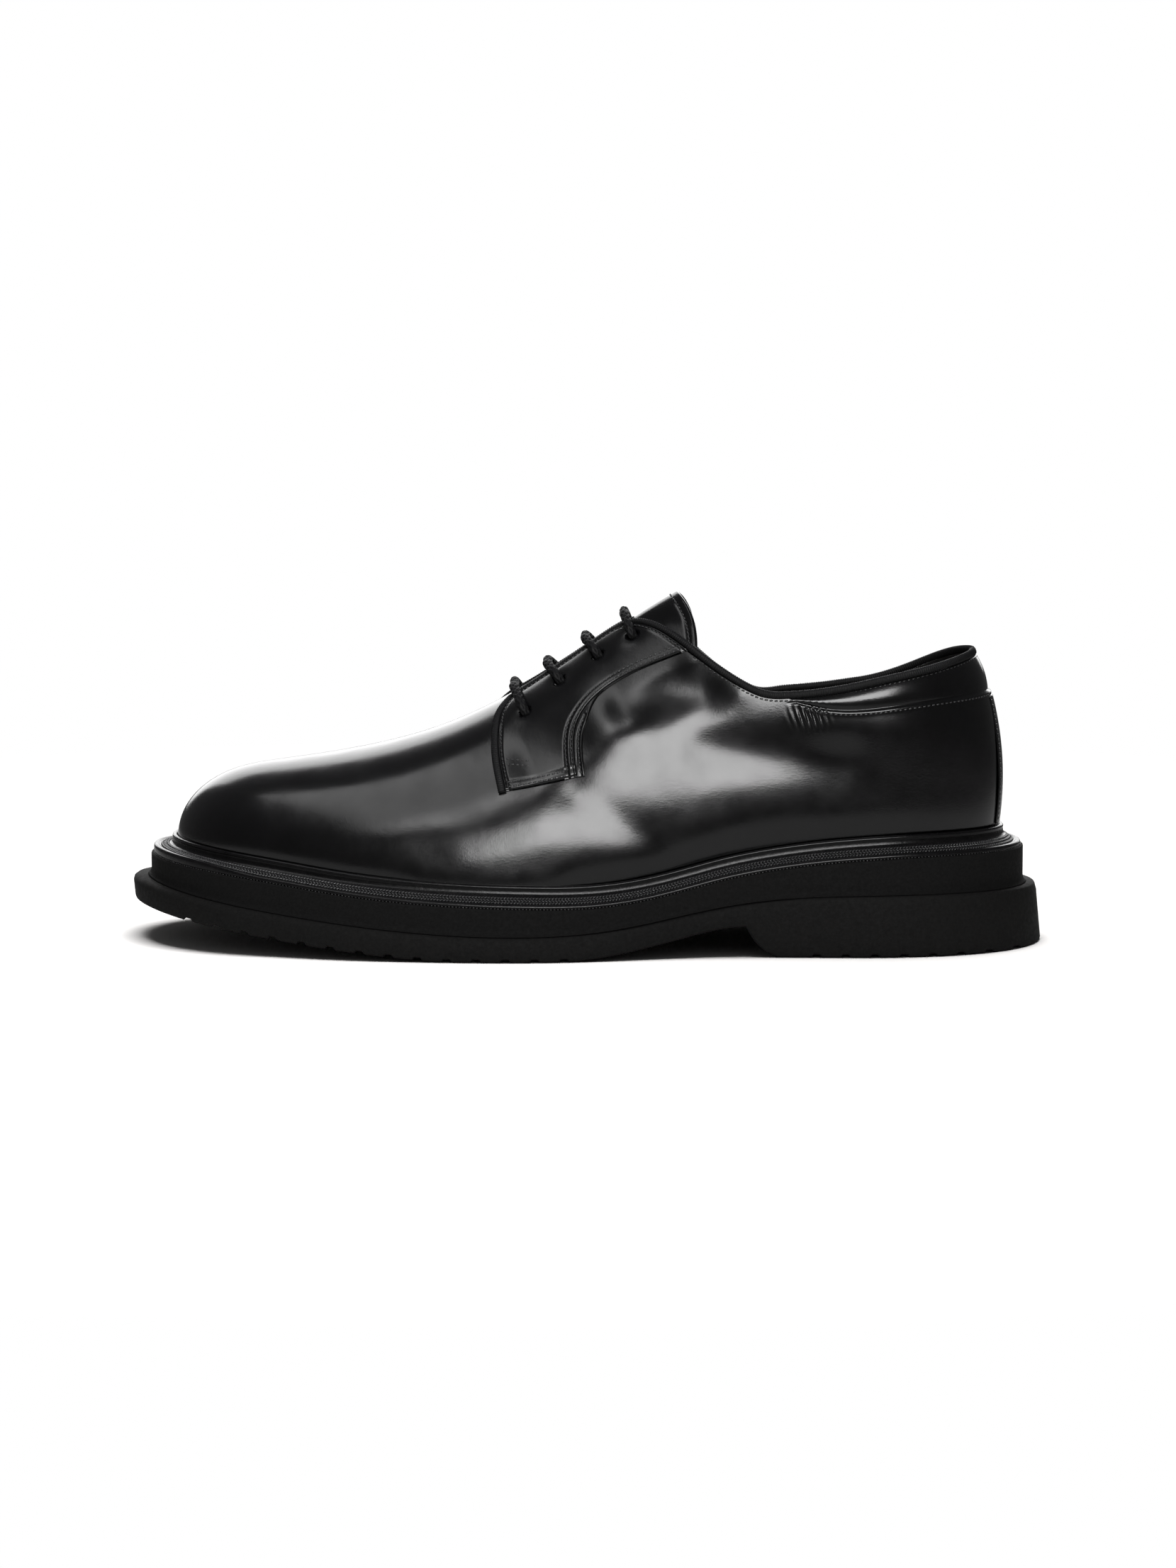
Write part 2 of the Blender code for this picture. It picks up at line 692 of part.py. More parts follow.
def punch(body, pins):
    cut = body.modifiers.new("eyelets", "BOOLEAN")
    cut.operation = "DIFFERENCE"
    cut.solver = "EXACT"
    cut.object = pins


# Sole

def feather_loop(count=240):
    """The feather line in plan, lateral side from toe to heel and back along the medial side."""
    toe_x = TOE_TIP + (TOE_START - TOE_TIP) * (1.0 - np.cos(np.linspace(0.0, math.pi / 2, count)))
    mid_x = np.linspace(TOE_START, HEEL_START, count + 1)[1:]
    turns = np.linspace(0.0, math.pi / 2, count + 1)[1:]
    halves = []
    for side in SIDES:
        x = np.concatenate((toe_x, mid_x))
        front = np.stack((x, axis(x) + side * half_width(x, feather(x), side)), axis=-1)
        z = np.full(turns.shape, float(feather(HEEL_BACK)))
        for _ in range(6):
            z = feather(at_heel(turns, z, side)[:, 0])
        back = at_heel(turns, z, side)[:, :2]
        halves.append(np.concatenate((front, back)))
    loop = np.concatenate((halves[0], halves[1][-2:0:-1]))
    run = np.roll(loop, -1, axis=0) - np.roll(loop, 1, axis=0)
    run /= np.linalg.norm(run, axis=1, keepdims=True)
    out = np.stack((run[:, 1] * -1.0, run[:, 0]), axis=-1)
    if np.mean(np.sum(out * (loop - loop.mean(axis=0)), axis=1)) < 0:
        out = -out
    return loop, out


loop_points, loop_out = feather_loop()


def outline(distance):
    """Lateral and medial halves of the feather line moved out, each rising in x."""
    moved = loop_points + loop_out * np.broadcast_to(distance, loop_points.shape[:1])[:, None]
    first, last_point = int(np.argmin(moved[:, 0])), int(np.argmax(moved[:, 0]))
    turned = np.roll(moved, -first, axis=0)
    far = (last_point - first) % len(moved)
    lateral = turned[:far + 1]
    medial = np.concatenate((turned[far:], turned[:1]))[::-1]
    return lateral, medial


def ring(distance, shares, height):
    """A closed ring of points at even shares of its length in x, with a height over x."""
    lateral, medial = outline(distance)
    x = lateral[0, 0] + (lateral[-1, 0] - lateral[0, 0]) * shares
    near = np.interp(x, lateral[:, 0], lateral[:, 1])
    far = np.interp(x, medial[:, 0], medial[:, 1])
    z = height(x)
    return np.stack((x, near, z), axis=-1), np.stack((x, far, z), axis=-1)


def stack_rings(solid, rings):
    """A solid from rings, bottom to top, closed across at both ends."""
    loops = [list(near) + list(far[-2:0:-1]) for near, far in rings]
    solid.sheet(loops, wrap_columns=True)
    for near, far in (rings[0], rings[-1]):
        solid.sheet((near, far))


def end_shares(count):
    return (1.0 - np.cos(np.linspace(0.0, math.pi, count))) / 2.0


SOLE_SHARES = end_shares(33)


def build_welt(shade):
    """The storm welt: inner flange, raised lip, stitch channel and outer bead."""
    solid = Solid("welt")
    side_of = np.where(np.arange(len(loop_points)) < len(loop_points) // 2, LATERAL, MEDIAL)
    x = np.clip(loop_points[:, 0], TOE_TIP + 0.5, HEEL_BACK - 2.5)
    low = feather(x)
    lean = reach(x, low + 2.0, side_of) - reach(x, low, side_of)
    profile = (
        (WELT_IN, 0.0, WELT_BOTTOM),
        (WELT_OUT - 0.4, 0.0, WELT_BOTTOM),
        (WELT_OUT, 0.0, WELT_BOTTOM + 0.4),
        (WELT_OUT, 0.0, -1.5),
        (WELT_OUT - 0.8, 0.0, -0.7),
        (WELT_OUT - 2.0, 0.0, -1.2),
        (3.5, 1.0, -1.2),
        (2.6, 1.0, -0.5),
        (2.5, 1.0, 1.5),
        (1.8, 1.0, 2.0),
        (0.9, 1.0, 1.7),
        (0.5, 0.0, WELT_TOP),
        (WELT_IN, 0.0, WELT_TOP),
    )
    loops = []
    for out, lean_share, rise in profile:
        near, far = ring(out + lean * lean_share, SOLE_SHARES, lambda x, rise=rise: feather(x) + rise)
        loops.append(list(near) + list(far[-2:0:-1]))
    solid.sheet(loops, wrap_rows=True, wrap_columns=True)
    return solid.make(shade)


def build_midsole(shade):
    solid = Solid("midsole")
    base = GAP
    stack_rings(solid, (
        ring(MIDSOLE_OUT + MIDSOLE_FOOT, SOLE_SHARES, lambda x: ledge_height(x) + base),
        ring(MIDSOLE_OUT + 0.35 * MIDSOLE_FOOT, SOLE_SHARES, lambda x: ledge_height(x) + base + 0.8),
        ring(MIDSOLE_OUT, SOLE_SHARES, lambda x: ledge_height(x) + base + 2.2),
        ring(MIDSOLE_OUT, SOLE_SHARES, lambda x: feather(x) + MIDSOLE_TOP - 0.5),
        ring(MIDSOLE_OUT - 0.5, SOLE_SHARES, lambda x: feather(x) + MIDSOLE_TOP),
        ring(MIDSOLE_CORE, SOLE_SHARES, lambda x: feather(x) + MIDSOLE_TOP),
        ring(MIDSOLE_CORE, SOLE_SHARES, lambda x: feather(x) + WELT_TOP),
    ))
    return solid.make(shade)


def build_insole(shade):
    solid = Solid("insole")
    stack_rings(solid, (
        ring(INSOLE_OUT, SOLE_SHARES, lambda x: feather(x) + INSOLE_BOTTOM),
        ring(INSOLE_OUT, SOLE_SHARES, lambda x: feather(x) + INSOLE_TOP - 0.6),
        ring(INSOLE_OUT - 0.6, SOLE_SHARES, lambda x: feather(x) + INSOLE_TOP),
    ))
    return solid.make(shade)


waist_rise = natural_spline(*np.transpose(WAIST_TABLE))
breast_fall = np.transpose(BREAST_TABLE)


def bottom_height(x):
    """Height of the tread tops: toe spring, flat ball, arched waist, slanted breast, flat heel."""
    toe = TOE_SPRING * (np.maximum(FLAT_FRONT - x, 0.0) / TOE_REACH) ** TOE_CURVE
    waist = np.where(x > FLAT_BACK, waist_rise(x), 0.0)
    heel = np.interp(x, breast_fall[0], breast_fall[1])
    return np.where(x > BREAST_TABLE[0][0], heel, np.maximum(toe + np.maximum(waist, 0.0), 0.0))


def outsole_stations():
    """Places along the sole with four to every lug, and the steps of the heel breast."""
    ends = outsole_out["bottom"]
    first = TOE_TIP - float(ends(TOE_TIP))
    final = float(heel_back(feather(HEEL_BACK))) + float(ends(HEEL_BACK))
    x = [first, first + 0.5, first + 1.6, first + 3.4, first + 6.0, first + 9.0]
    groove = [False] * len(x)
    for begin, end in LUG_ZONES:
        count = int((end - begin) / LUG_PITCH)
        for k in range(count):
            start = begin + k * LUG_PITCH
            x += [start, start + 0.62 * LUG_PITCH, start + 0.70 * LUG_PITCH, start + 0.92 * LUG_PITCH]
            groove += [False, False, True, True]
    for place in (4.0, 11.0, 18.0, 25.0, 32.0, 39.0, 46.0, 52.5, 55.2, 58.4, 63.0):
        x.append(place)
        groove.append(False)
    for back in (6.6, 4.0, 2.0, 0.6, 0.0):
        x.append(final - back)
        groove.append(False)
    order = np.argsort(x)
    keep_x = np.asarray(x)[order]
    keep_groove = np.asarray(groove)[order]
    return keep_x, keep_groove


def build_outsole(shade):
    solid = Solid("outsole")
    x, groove = outsole_stations()
    shares = (x - x[0]) / (x[-1] - x[0])
    depth = np.where(groove, LUG_DEPTH, 0.0)
    base_x = loop_points[:, 0]
    ledge_out = outsole_out["ledge"](base_x)
    bottom_out = outsole_out["bottom"](base_x)
    rounding = outsole_out["round"](base_x)

    def tread(place):
        return bottom_height(x) + depth

    def side_foot(place):
        return np.minimum(bottom_height(x) + depth + 1.1, ledge_height(place) - 3.4)

    stack_rings(solid, (
        ring(bottom_out - 0.9, shares, tread),
        ring(bottom_out, shares, side_foot),
        ring(ledge_out + 0.25 * (bottom_out - ledge_out), shares, lambda p: ledge_height(p) - 2.6),
        ring(ledge_out - rounding, shares, lambda p: ledge_height(p) - 0.3),
        ring(MIDSOLE_OUT - 0.2, shares, ledge_height),
    ))
    return solid.make(shade)


def clear_scene():
    for thing in list(bpy.data.objects):
        bpy.data.objects.remove(thing, do_unlink=True)


clear_scene()
leather = material("polished leather", (0.02, 0.02, 0.022))
rubber = material("sole rubber", (0.03, 0.03, 0.03))
tape = material("ribbed tape", (0.025, 0.025, 0.027))
cord = material("lace cord", (0.02, 0.02, 0.02))
board = material("insole leather", (0.05, 0.045, 0.04))

pins = build_eyelet_cutter(leather)
punch(build_upper(leather), pins)
punch(build_facing("facing_lateral", LATERAL, leather), pins)
punch(build_facing("facing_medial", MEDIAL, leather), pins)
build_binding(tape)
build_tongue(leather)
build_backstay(leather)
build_laces(cord)
build_welt(rubber)
build_midsole(rubber)
build_outsole(rubber)
build_insole(board)
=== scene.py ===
"""The looks of the black derby shoe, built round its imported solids.

Shapes are worked out in millimetres from the same last as the solids and become metres
when a mesh is made.  Toe at -X, outer (lateral) side at -Y, up +Z, floor at z = 0.
"""
import math

import bmesh
import bpy
import numpy as np
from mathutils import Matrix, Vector


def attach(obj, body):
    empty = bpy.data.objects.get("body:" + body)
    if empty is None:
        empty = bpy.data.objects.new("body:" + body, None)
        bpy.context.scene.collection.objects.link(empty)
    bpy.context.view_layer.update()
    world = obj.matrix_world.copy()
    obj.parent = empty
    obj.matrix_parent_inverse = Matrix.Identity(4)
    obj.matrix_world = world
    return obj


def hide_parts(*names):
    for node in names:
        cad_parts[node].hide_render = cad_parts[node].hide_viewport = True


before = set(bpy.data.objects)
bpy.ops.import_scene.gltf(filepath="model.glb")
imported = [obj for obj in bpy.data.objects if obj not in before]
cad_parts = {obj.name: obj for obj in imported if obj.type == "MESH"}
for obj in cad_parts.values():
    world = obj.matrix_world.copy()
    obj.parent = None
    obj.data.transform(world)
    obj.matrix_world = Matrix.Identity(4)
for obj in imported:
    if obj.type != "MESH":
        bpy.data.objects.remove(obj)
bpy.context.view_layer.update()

MM = 0.001
FRAME_SHIFT = np.array((0.25, 0.6, 0.0))
LATERAL = -1.0
MEDIAL = 1.0
SIDES = (LATERAL, MEDIAL)
SIDE_NAMES = {LATERAL: "lateral", MEDIAL: "medial"}

# The last, as in the solids
LAST_COLUMNS = ("x", "axis", "feather", "ridge", "lateral", "medial", "tuck_lat", "tuck_med", "crown")
LAST_TABLE = (
    (-140.0, 6.0, 32.3, 55.0, 27.0, 25.5, 0.6, 0.6, 2.20),
    (-110.0, 5.2, 29.2, 58.4, 36.4, 30.6, 1.4, 1.4, 2.15),
    (-80.0, 4.2, 25.3, 62.8, 44.6, 38.6, 1.2, 2.2, 2.05),
    (-50.0, 3.2, 22.7, 70.6, 48.0, 43.6, 0.8, 2.6, 1.90),
    (-20.0, 2.1, 21.6, 85.2, 48.2, 41.6, 0.8, 3.2, 1.72),
    (5.0, 1.2, 21.9, 101.8, 46.2, 36.2, 2.6, 4.0, 1.62),
    (25.0, 0.3, 24.9, 114.2, 42.4, 32.4, 3.6, 4.4, 1.62),
    (45.0, -0.7, 29.8, 125.8, 38.4, 31.0, 3.6, 4.4, 1.72),
    (65.0, -1.7, 33.4, 136.0, 35.8, 31.2, 3.2, 3.6, 1.90),
    (90.0, -2.8, 36.0, 144.0, 34.0, 32.0, 2.6, 2.8, 2.10),
    (115.0, -3.6, 37.0, 149.0, 33.4, 32.2, 2.4, 2.4, 2.20),
    (140.0, -4.2, 36.9, 151.0, 33.0, 32.0, 2.4, 2.4, 2.20),
)
TUCK_HEIGHT = 18.0
TOE_TIP = -138.0
TOE_START = -103.5
TOE_POWER = 2.8
HEEL_START = 84.0
HEEL_BACK = 138.8
HEEL_BULGE_HEIGHT = 54.0
HEEL_BEND = 0.0046
HEEL_POWER = 2.3
HEEL_EDGE_GUESS = 97.0
HEEL_FEATHER_GUESS = 37.0

# The pieces on the last, most of them as in the solids
WALL = 2.0
THROAT_FRONT = -22.0
THROAT_ROUND = 8.0
EDGE_COLUMNS = ("x", "drop")
EDGE_TABLE = (
    (-34.0, 1.7), (-14.0, 1.6), (6.0, 1.6), (15.0, 2.6), (24.0, 9.1), (34.0, 21.0), (42.0, 31.2),
    (52.0, 42.8), (58.0, 48.3), (66.0, 52.4), (80.0, 55.9), (98.0, 56.9), (115.0, 56.5), (132.0, 53.9),
)
# Columns: at, spread, depth
MEDIAL_DIP_TABLE = ((-2.0, 42.0, 1.8), (54.0, 38.0, 5.2), (96.0, 32.0, 5.2))
SEAM_COLUMNS = ("x", "z")
SEAM_TABLE = ((68.0, 83.0), (75.0, 81.2), (84.0, 80.1), (98.0, 80.9), (115.0, 82.9), (138.0, 84.4))
SEAM_START = 69.0
SEAM_FADE = 4.0
SEAM_STEP = 0.7
SEAM_HALF_WIDTH = 0.3
SEAM_DIP_SHARE = 0.9
FACING_THICK = 1.3
FACING_FRONT_X = -23.6
FACING_REAR_X = 33.5
# Columns: x, z
FACING_FRONT = ((-26.8, 78.0), (-28.6, 72.4), (-28.6, 64.5), (-26.4, 53.8))
FACING_REAR = ((24.5, 95.5), (12.0, 90.0), (3.0, 83.5), (-3.2, 74.5), (-3.8, 66.5), (-2.9, 58.7))
BEAD_WIDTH = 2.5
BEAD_PROUD = 0.5
BEAD_INNER = 0.2
BEAD_CLEAR_FROM = -11.0
BEAD_CLEAR_LENGTH = 4.0
BEAD_STEP_BACK = 1.0
BEAD_STEP_LENGTH = 5.0
TONGUE_THICK = 1.7
TONGUE_CLEAR = 0.6
TONGUE_FRONT = -42.0
TONGUE_BACK = 30.2
# Columns: x, width, rise
TONGUE_ARCH_TABLE = (
    (0.0, 0.25, 0.0),
    (8.0, 0.28, 0.8),
    (13.0, 0.31, 1.6),
    (17.0, 0.39, 2.0),
    (21.0, 0.50, 2.2),
    (25.0, 0.63, 2.3),
    (30.2, 0.80, 2.3),
)
TONGUE_SPAN = 35.0
TONGUE_LEAN = 5.7
BACKSTAY_THICK = 0.55
BACKSTAY_HALF_ANGLE = 15.0
BACKSTAY_TOP = 83.0
BACKSTAY_BOTTOM_CLEAR = 3.0
# Columns: x, z
LACE_HOLES = ((-20.0, 77.6), (-8.4, 87.6), (4.2, 96.0), (15.6, 102.6))
LACE_RADIUS = 1.55
LACE_FORWARD = (3.4, 3.7, 3.6, 1.8)
LACE_SAG = 2.1
LACE_SAG_FROM = 0.36
HOLE_RADIUS = 1.9
LEDGE_COLUMNS = ("x", "z")
LEDGE_TABLE = (
    (-150.0, 21.2), (-110.0, 15.2), (-80.0, 11.6), (-50.0, 9.0), (-20.0, 8.2), (5.0, 9.6),
    (25.0, 12.9), (45.0, 16.8), (65.0, 19.2), (90.0, 20.1), (115.0, 20.2), (150.0, 19.6),
)
WELT_OUT = 8.0
WELT_IN = -6.0
WELT_TOP = -0.3
WELT_BOTTOM = -4.55
MIDSOLE_OUT = 8.9
MIDSOLE_TOP = -4.6
MIDSOLE_FOOT = 1.2
MIDSOLE_STATIONS = 361
INSOLE_OUT = -2.8
INSOLE_BOTTOM = 0.1
INSOLE_TOP = 3.0
INSOLE_STATIONS = 181
OUTSOLE_COLUMNS = ("x", "ledge", "bottom", "round")
OUTSOLE_TABLE = (
    (-137.5, 15.0, 14.4, 2.8),
    (-122.0, 13.0, 12.8, 2.0),
    (-95.0, 11.6, 11.9, 1.2),
    (-50.0, 11.2, 11.6, 1.0),
    (0.0, 11.0, 11.3, 1.0),
    (40.0, 10.2, 10.4, 0.8),
    (70.0, 11.0, 11.8, 0.9),
    (110.0, 11.8, 13.2, 0.6),
    (138.0, 13.0, 15.0, 0.4),
)
OUTSOLE_STATIONS = 261
TOE_SPRING = 13.0
FLAT_FRONT = -46.0
FLAT_BACK = -6.0
TOE_REACH = 106.0
TOE_CURVE = 1.35
# Columns: x, rise
WAIST_TABLE = ((-6.0, 0.0), (4.0, 0.9), (18.0, 3.4), (32.0, 6.6), (46.0, 9.6), (52.5, 10.2))
BREAST_TABLE = ((52.5, 10.2), (55.2, 5.6), (58.4, 2.2), (63.0, 0.0))
LUG_PITCH = 9.6
LUG_DEPTH = 0.9
LUG_ZONES = ((-140.0, -2.0), (68.0, 147.0))
LUG_PHASES = (0.0, 0.62, 0.70, 0.92, 1.0)
LUG_SHAPE = (0.0, 0.0, 1.0, 1.0, 0.0)


# Curves and the surface of the last

def natural_spline(knots, values):
    """A smooth curve through the knots that runs on straight beyond both ends."""
    knots = np.asarray(knots, float)
    values = np.asarray(values, float)
    count = len(knots)
    step = np.diff(knots)
    slope = np.diff(values) / step
    matrix = np.eye(count)
    right = np.zeros(count)
    for i in range(1, count - 1):
        matrix[i, i - 1:i + 2] = step[i - 1], 2.0 * (step[i - 1] + step[i]), step[i]
        right[i] = 6.0 * (slope[i] - slope[i - 1])
    bend = np.linalg.solve(matrix, right)
    first_slope = slope[0] - step[0] * bend[1] / 6.0
    last_slope = slope[-1] + step[-1] * bend[-2] / 6.0

    def curve(x):
        x = np.asarray(x, float)
        inside = np.clip(x, knots[0], knots[-1])
        k = np.clip(np.searchsorted(knots, inside) - 1, 0, count - 2)
        h = step[k]
        a = (knots[k + 1] - inside) / h
        b = 1.0 - a
        value = a * values[k] + b * values[k + 1]
        value = value + ((a ** 3 - a) * bend[k] + (b ** 3 - b) * bend[k + 1]) * h * h / 6.0
        before = np.minimum(x - knots[0], 0.0) * first_slope
        after = np.maximum(x - knots[-1], 0.0) * last_slope
        return value + before + after

    return curve


def table_curves(columns, rows):
    data = np.asarray(rows, float)
    return {name: natural_spline(data[:, 0], data[:, i]) for i, name in enumerate(columns) if i > 0}


last = table_curves(LAST_COLUMNS, LAST_TABLE)
edge_drop = table_curves(EDGE_COLUMNS, EDGE_TABLE)["drop"]
seam_height = table_curves(SEAM_COLUMNS, SEAM_TABLE)["z"]
ledge_height = table_curves(LEDGE_COLUMNS, LEDGE_TABLE)["z"]
outsole_out = table_curves(OUTSOLE_COLUMNS, OUTSOLE_TABLE)
axis, feather, ridge, crown = last["axis"], last["feather"], last["ridge"], last["crown"]


def smooth_step(t):
    t = np.clip(t, 0.0, 1.0)
    return t * t * (3.0 - 2.0 * t)


def hill(t):
    return np.exp(-np.square(t))


def seam_fade(x):
    """Rises from 0 to 1 where the collar seam starts."""
    return smooth_step((x - SEAM_START + SEAM_FADE) / (2.0 * SEAM_FADE))


def toe_round(x):
    t = np.clip((TOE_START - x) / (TOE_START - TOE_TIP), 0.0, 1.0)
    return t ** TOE_POWER


def heel_back(z):
    return HEEL_BACK - HEEL_BEND * (z - HEEL_BULGE_HEIGHT) ** 2


def heel_round(x, z):
    s = np.clip((x - HEEL_START) / (heel_back(z) - HEEL_START), 0.0, 1.0)
    return s ** HEEL_POWER


def reach(x, z, side):
    wide = np.where(side < 0, last["lateral"](x), last["medial"](x))
    tuck = np.where(side < 0, last["tuck_lat"](x), last["tuck_med"](x))
    level = np.minimum((z - feather(x)) / TUCK_HEIGHT, 1.0)
    return wide - tuck * (1.0 - level) ** 3


def crown_part(x, z):
    share = np.clip((z - feather(x)) / (ridge(x) - feather(x)), 0.0, 1.0)
    return share ** crown(x)


def room(x, z):
    """Square of the share of its reach that the last has at a place in side view."""
    return (1.0 - crown_part(x, z) - toe_round(x)) * (1.0 - heel_round(x, z))


def half_width(x, z, side):
    return reach(x, z, side) * np.sqrt(np.maximum(room(x, z), 0.0))


def field(x, y, z, side):
    """Below zero inside the last, zero on its face."""
    return ((y - axis(x)) / reach(x, z, side)) ** 2 - room(x, z)


def normals(points, side):
    h = 0.05
    x, y, z = points[..., 0], points[..., 1], points[..., 2]
    grad = np.stack((
        field(x + h, y, z, side) - field(x - h, y, z, side),
        field(x, y + h, z, side) - field(x, y - h, z, side),
        field(x, y, z + h, side) - field(x, y, z - h, side),
    ), axis=-1)
    return grad / np.linalg.norm(grad, axis=-1, keepdims=True)


def at_side(x, z, side):
    x, z = np.broadcast_arrays(np.asarray(x, float), np.asarray(z, float))
    return np.stack((x, axis(x) + side * half_width(x, z, side), z), axis=-1)


def at_angle(x, angle, side):
    x, angle = np.broadcast_arrays(np.asarray(x, float), np.asarray(angle, float))
    full = np.sqrt(1.0 - toe_round(x))
    z = feather(x) + (ridge(x) - feather(x)) * (full * np.sin(angle)) ** (2.0 / crown(x))
    y = axis(x) + side * reach(x, z, side) * full * np.cos(angle)
    return np.stack((x, y, z), axis=-1)


def angle_of(x, z):
    full = np.sqrt(1.0 - toe_round(x))
    return np.arcsin(np.clip(np.sqrt(crown_part(x, z)) / full, 0.0, 1.0))


def at_heel(turn, z, side):
    turn, z = np.broadcast_arrays(np.asarray(turn, float), np.asarray(z, float))
    s = np.sin(turn) ** (2.0 / HEEL_POWER)
    x = HEEL_START + (heel_back(z) - HEEL_START) * s
    y = axis(x) + side * reach(x, z, side) * np.sqrt(1.0 - crown_part(x, z)) * np.cos(turn)
    return np.stack((x, y, z), axis=-1)


def medial_dip(x, side):
    dip = np.zeros(np.shape(x))
    for at, spread, depth in MEDIAL_DIP_TABLE:
        t = np.clip(np.abs(x - at) / spread, 0.0, 1.0)
        dip = dip + np.where(side > 0, depth * (1.0 - t * t) ** 2, 0.0)
    return dip


def seam_level(x, side):
    return seam_height(x) - SEAM_DIP_SHARE * medial_dip(x, side)


def lowered(x, z, side):
    """A height of the lateral side carried over to a side, with the medial dip."""
    return z - float(medial_dip(x, side))


def full_drop(x, side):
    return edge_drop(x) + medial_dip(x, side)


def edge_height(x, side):
    return ridge(x) - full_drop(x, side) * smooth_step((x - THROAT_FRONT) / THROAT_ROUND)


def heel_edge_height(turn, side):
    z = np.full(np.shape(turn), HEEL_EDGE_GUESS)
    for _ in range(8):
        z = edge_height(at_heel(turn, z, side)[..., 0], side)
    return z


def facing_edge(x, side):
    return ridge(x) - full_drop(x, side)


def arc(path):
    """Distance along a polyline at each of its points."""
    return np.concatenate(([0.0], np.cumsum(np.linalg.norm(np.diff(path, axis=0), axis=1))))


def sampled(values, length, places):
    """Rows of values, known at distances along a line, at other places on it."""
    return np.stack([np.interp(places, length, column) for column in values.T], axis=-1)


def along(path, places):
    """Points of a polyline at given distances along it."""
    return sampled(path, arc(path), places)


def evenly(path, step):
    length = arc(path)[-1]
    return along(path, np.linspace(0.0, length, max(2, int(round(length / step)) + 1)))


def unit(vectors):
    return vectors / np.linalg.norm(vectors, axis=-1, keepdims=True)


# Form of the leather: soft troughs (negative) and swells in side view
# Columns: x0, z0, x1, z1, height, width
RELIEF_TABLE = (
    (2.0, 73.0, 14.0, 76.0, 0.8, 10.0),
    (12.0, 82.0, 38.0, 86.0, -0.9, 7.0),
    (40.0, 67.5, 84.0, 64.5, -1.2, 9.0),
    (36.0, 95.0, 50.0, 87.0, 0.5, 5.0),
    (-4.0, 54.0, 24.0, 37.0, -0.6, 7.0),
    (82.0, 52.0, 124.0, 52.0, -0.8, 13.0),
    (80.0, 76.0, 128.0, 77.0, 0.6, 9.0),
    (-18.0, 64.5, -3.0, 71.0, -1.0, 8.0),
    (-52.0, 22.0, -14.0, 21.0, 0.7, 8.0),
    (-40.0, 36.0, -16.0, 40.0, 0.3, 8.0),
    (-96.0, 52.0, -60.0, 56.0, 0.25, 9.0),
)
PUCKER_AT = (73.5, 78.5)
PUCKER_SPREAD = (5.5, 3.0)
PUCKER_PITCH = 2.1
PUCKER_SLANT = 0.35
PUCKER_HEIGHT = 0.30


def relief(points):
    """How far the leather stands off the smooth last, at points of the upper."""
    x, z = points[..., 0], points[..., 2]
    total = np.zeros(x.shape)
    for x0, z0, x1, z1, height, width in RELIEF_TABLE:
        run_x, run_z = x1 - x0, z1 - z0
        t = np.clip(((x - x0) * run_x + (z - z0) * run_z) / (run_x ** 2 + run_z ** 2), 0.0, 1.0)
        far = np.hypot(x - x0 - t * run_x, z - z0 - t * run_z)
        total = total + height * hill(far / width)
    near = hill((x - PUCKER_AT[0]) / PUCKER_SPREAD[0]) * hill((z - PUCKER_AT[1]) / PUCKER_SPREAD[1])
    wave = np.cos(2.0 * math.pi * (x - PUCKER_AT[0] + PUCKER_SLANT * (z - PUCKER_AT[1])) / PUCKER_PITCH)
    return total + PUCKER_HEIGHT * near * wave


def lifted(points, side, distance):
    """Points moved out from the smooth last along its normals."""
    distance = np.broadcast_to(np.asarray(distance, float), points.shape[:-1])
    return points + normals(points, side) * distance[..., None]


def on_leather(points, side, distance):
    """Points moved out from the leather's real face, with its listed form."""
    return lifted(points, side, distance + relief(points))


# Meshes

WELD = 0.002


class Net:
    """Faces over points in millimetres, welded and made into one smooth mesh."""

    def __init__(self):
        self.points = []
        self.faces = []
        self.slots = []
        self.count = 0

    def add(self, points, faces, slot=0):
        flat = np.asarray(points, float).reshape(-1, 3)
        faces = np.asarray(faces, int) + self.count
        self.points.append(flat)
        self.faces.append(faces)
        self.slots.append(np.full(len(faces), slot))
        self.count += len(flat)

    def sheet(self, points, wrap_rows=False, wrap_columns=False, slot=0, keep=None):
        points = np.asarray(points, float)
        quads = quads_of(points.shape[0], points.shape[1], wrap_rows, wrap_columns)
        if keep is not None:
            quads = quads[keep.ravel()]
        self.add(points, quads, slot)

    def strip(self, first, second, slot=0):
        self.sheet(np.stack((first, second)), slot=slot)

    def ends(self, sections):
        """Closes a tube with a face over its first and last section."""
        for end in (sections[0], sections[-1]):
            self.add(end, [list(range(len(end)))])

    def make(self, name, *materials):
        mesh = bpy.data.meshes.new(name)
        placed = (np.concatenate(self.points) + FRAME_SHIFT) * MM
        faces = [face for block in self.faces for face in block.tolist()]
        mesh.from_pydata(placed.tolist(), [], faces)
        mesh.polygons.foreach_set("material_index", np.concatenate(self.slots).astype(np.int32))
        body = bmesh.new()
        body.from_mesh(mesh)
        bmesh.ops.remove_doubles(body, verts=body.verts[:], dist=WELD * MM)
        bmesh.ops.recalc_face_normals(body, faces=body.faces[:])
        body.to_mesh(mesh)
        body.free()
        mesh.polygons.foreach_set("use_smooth", np.ones(len(mesh.polygons), bool))
        made = bpy.data.objects.new(name, mesh)
        bpy.context.scene.collection.objects.link(made)
        for material in materials:
            mesh.materials.append(material)
        return made


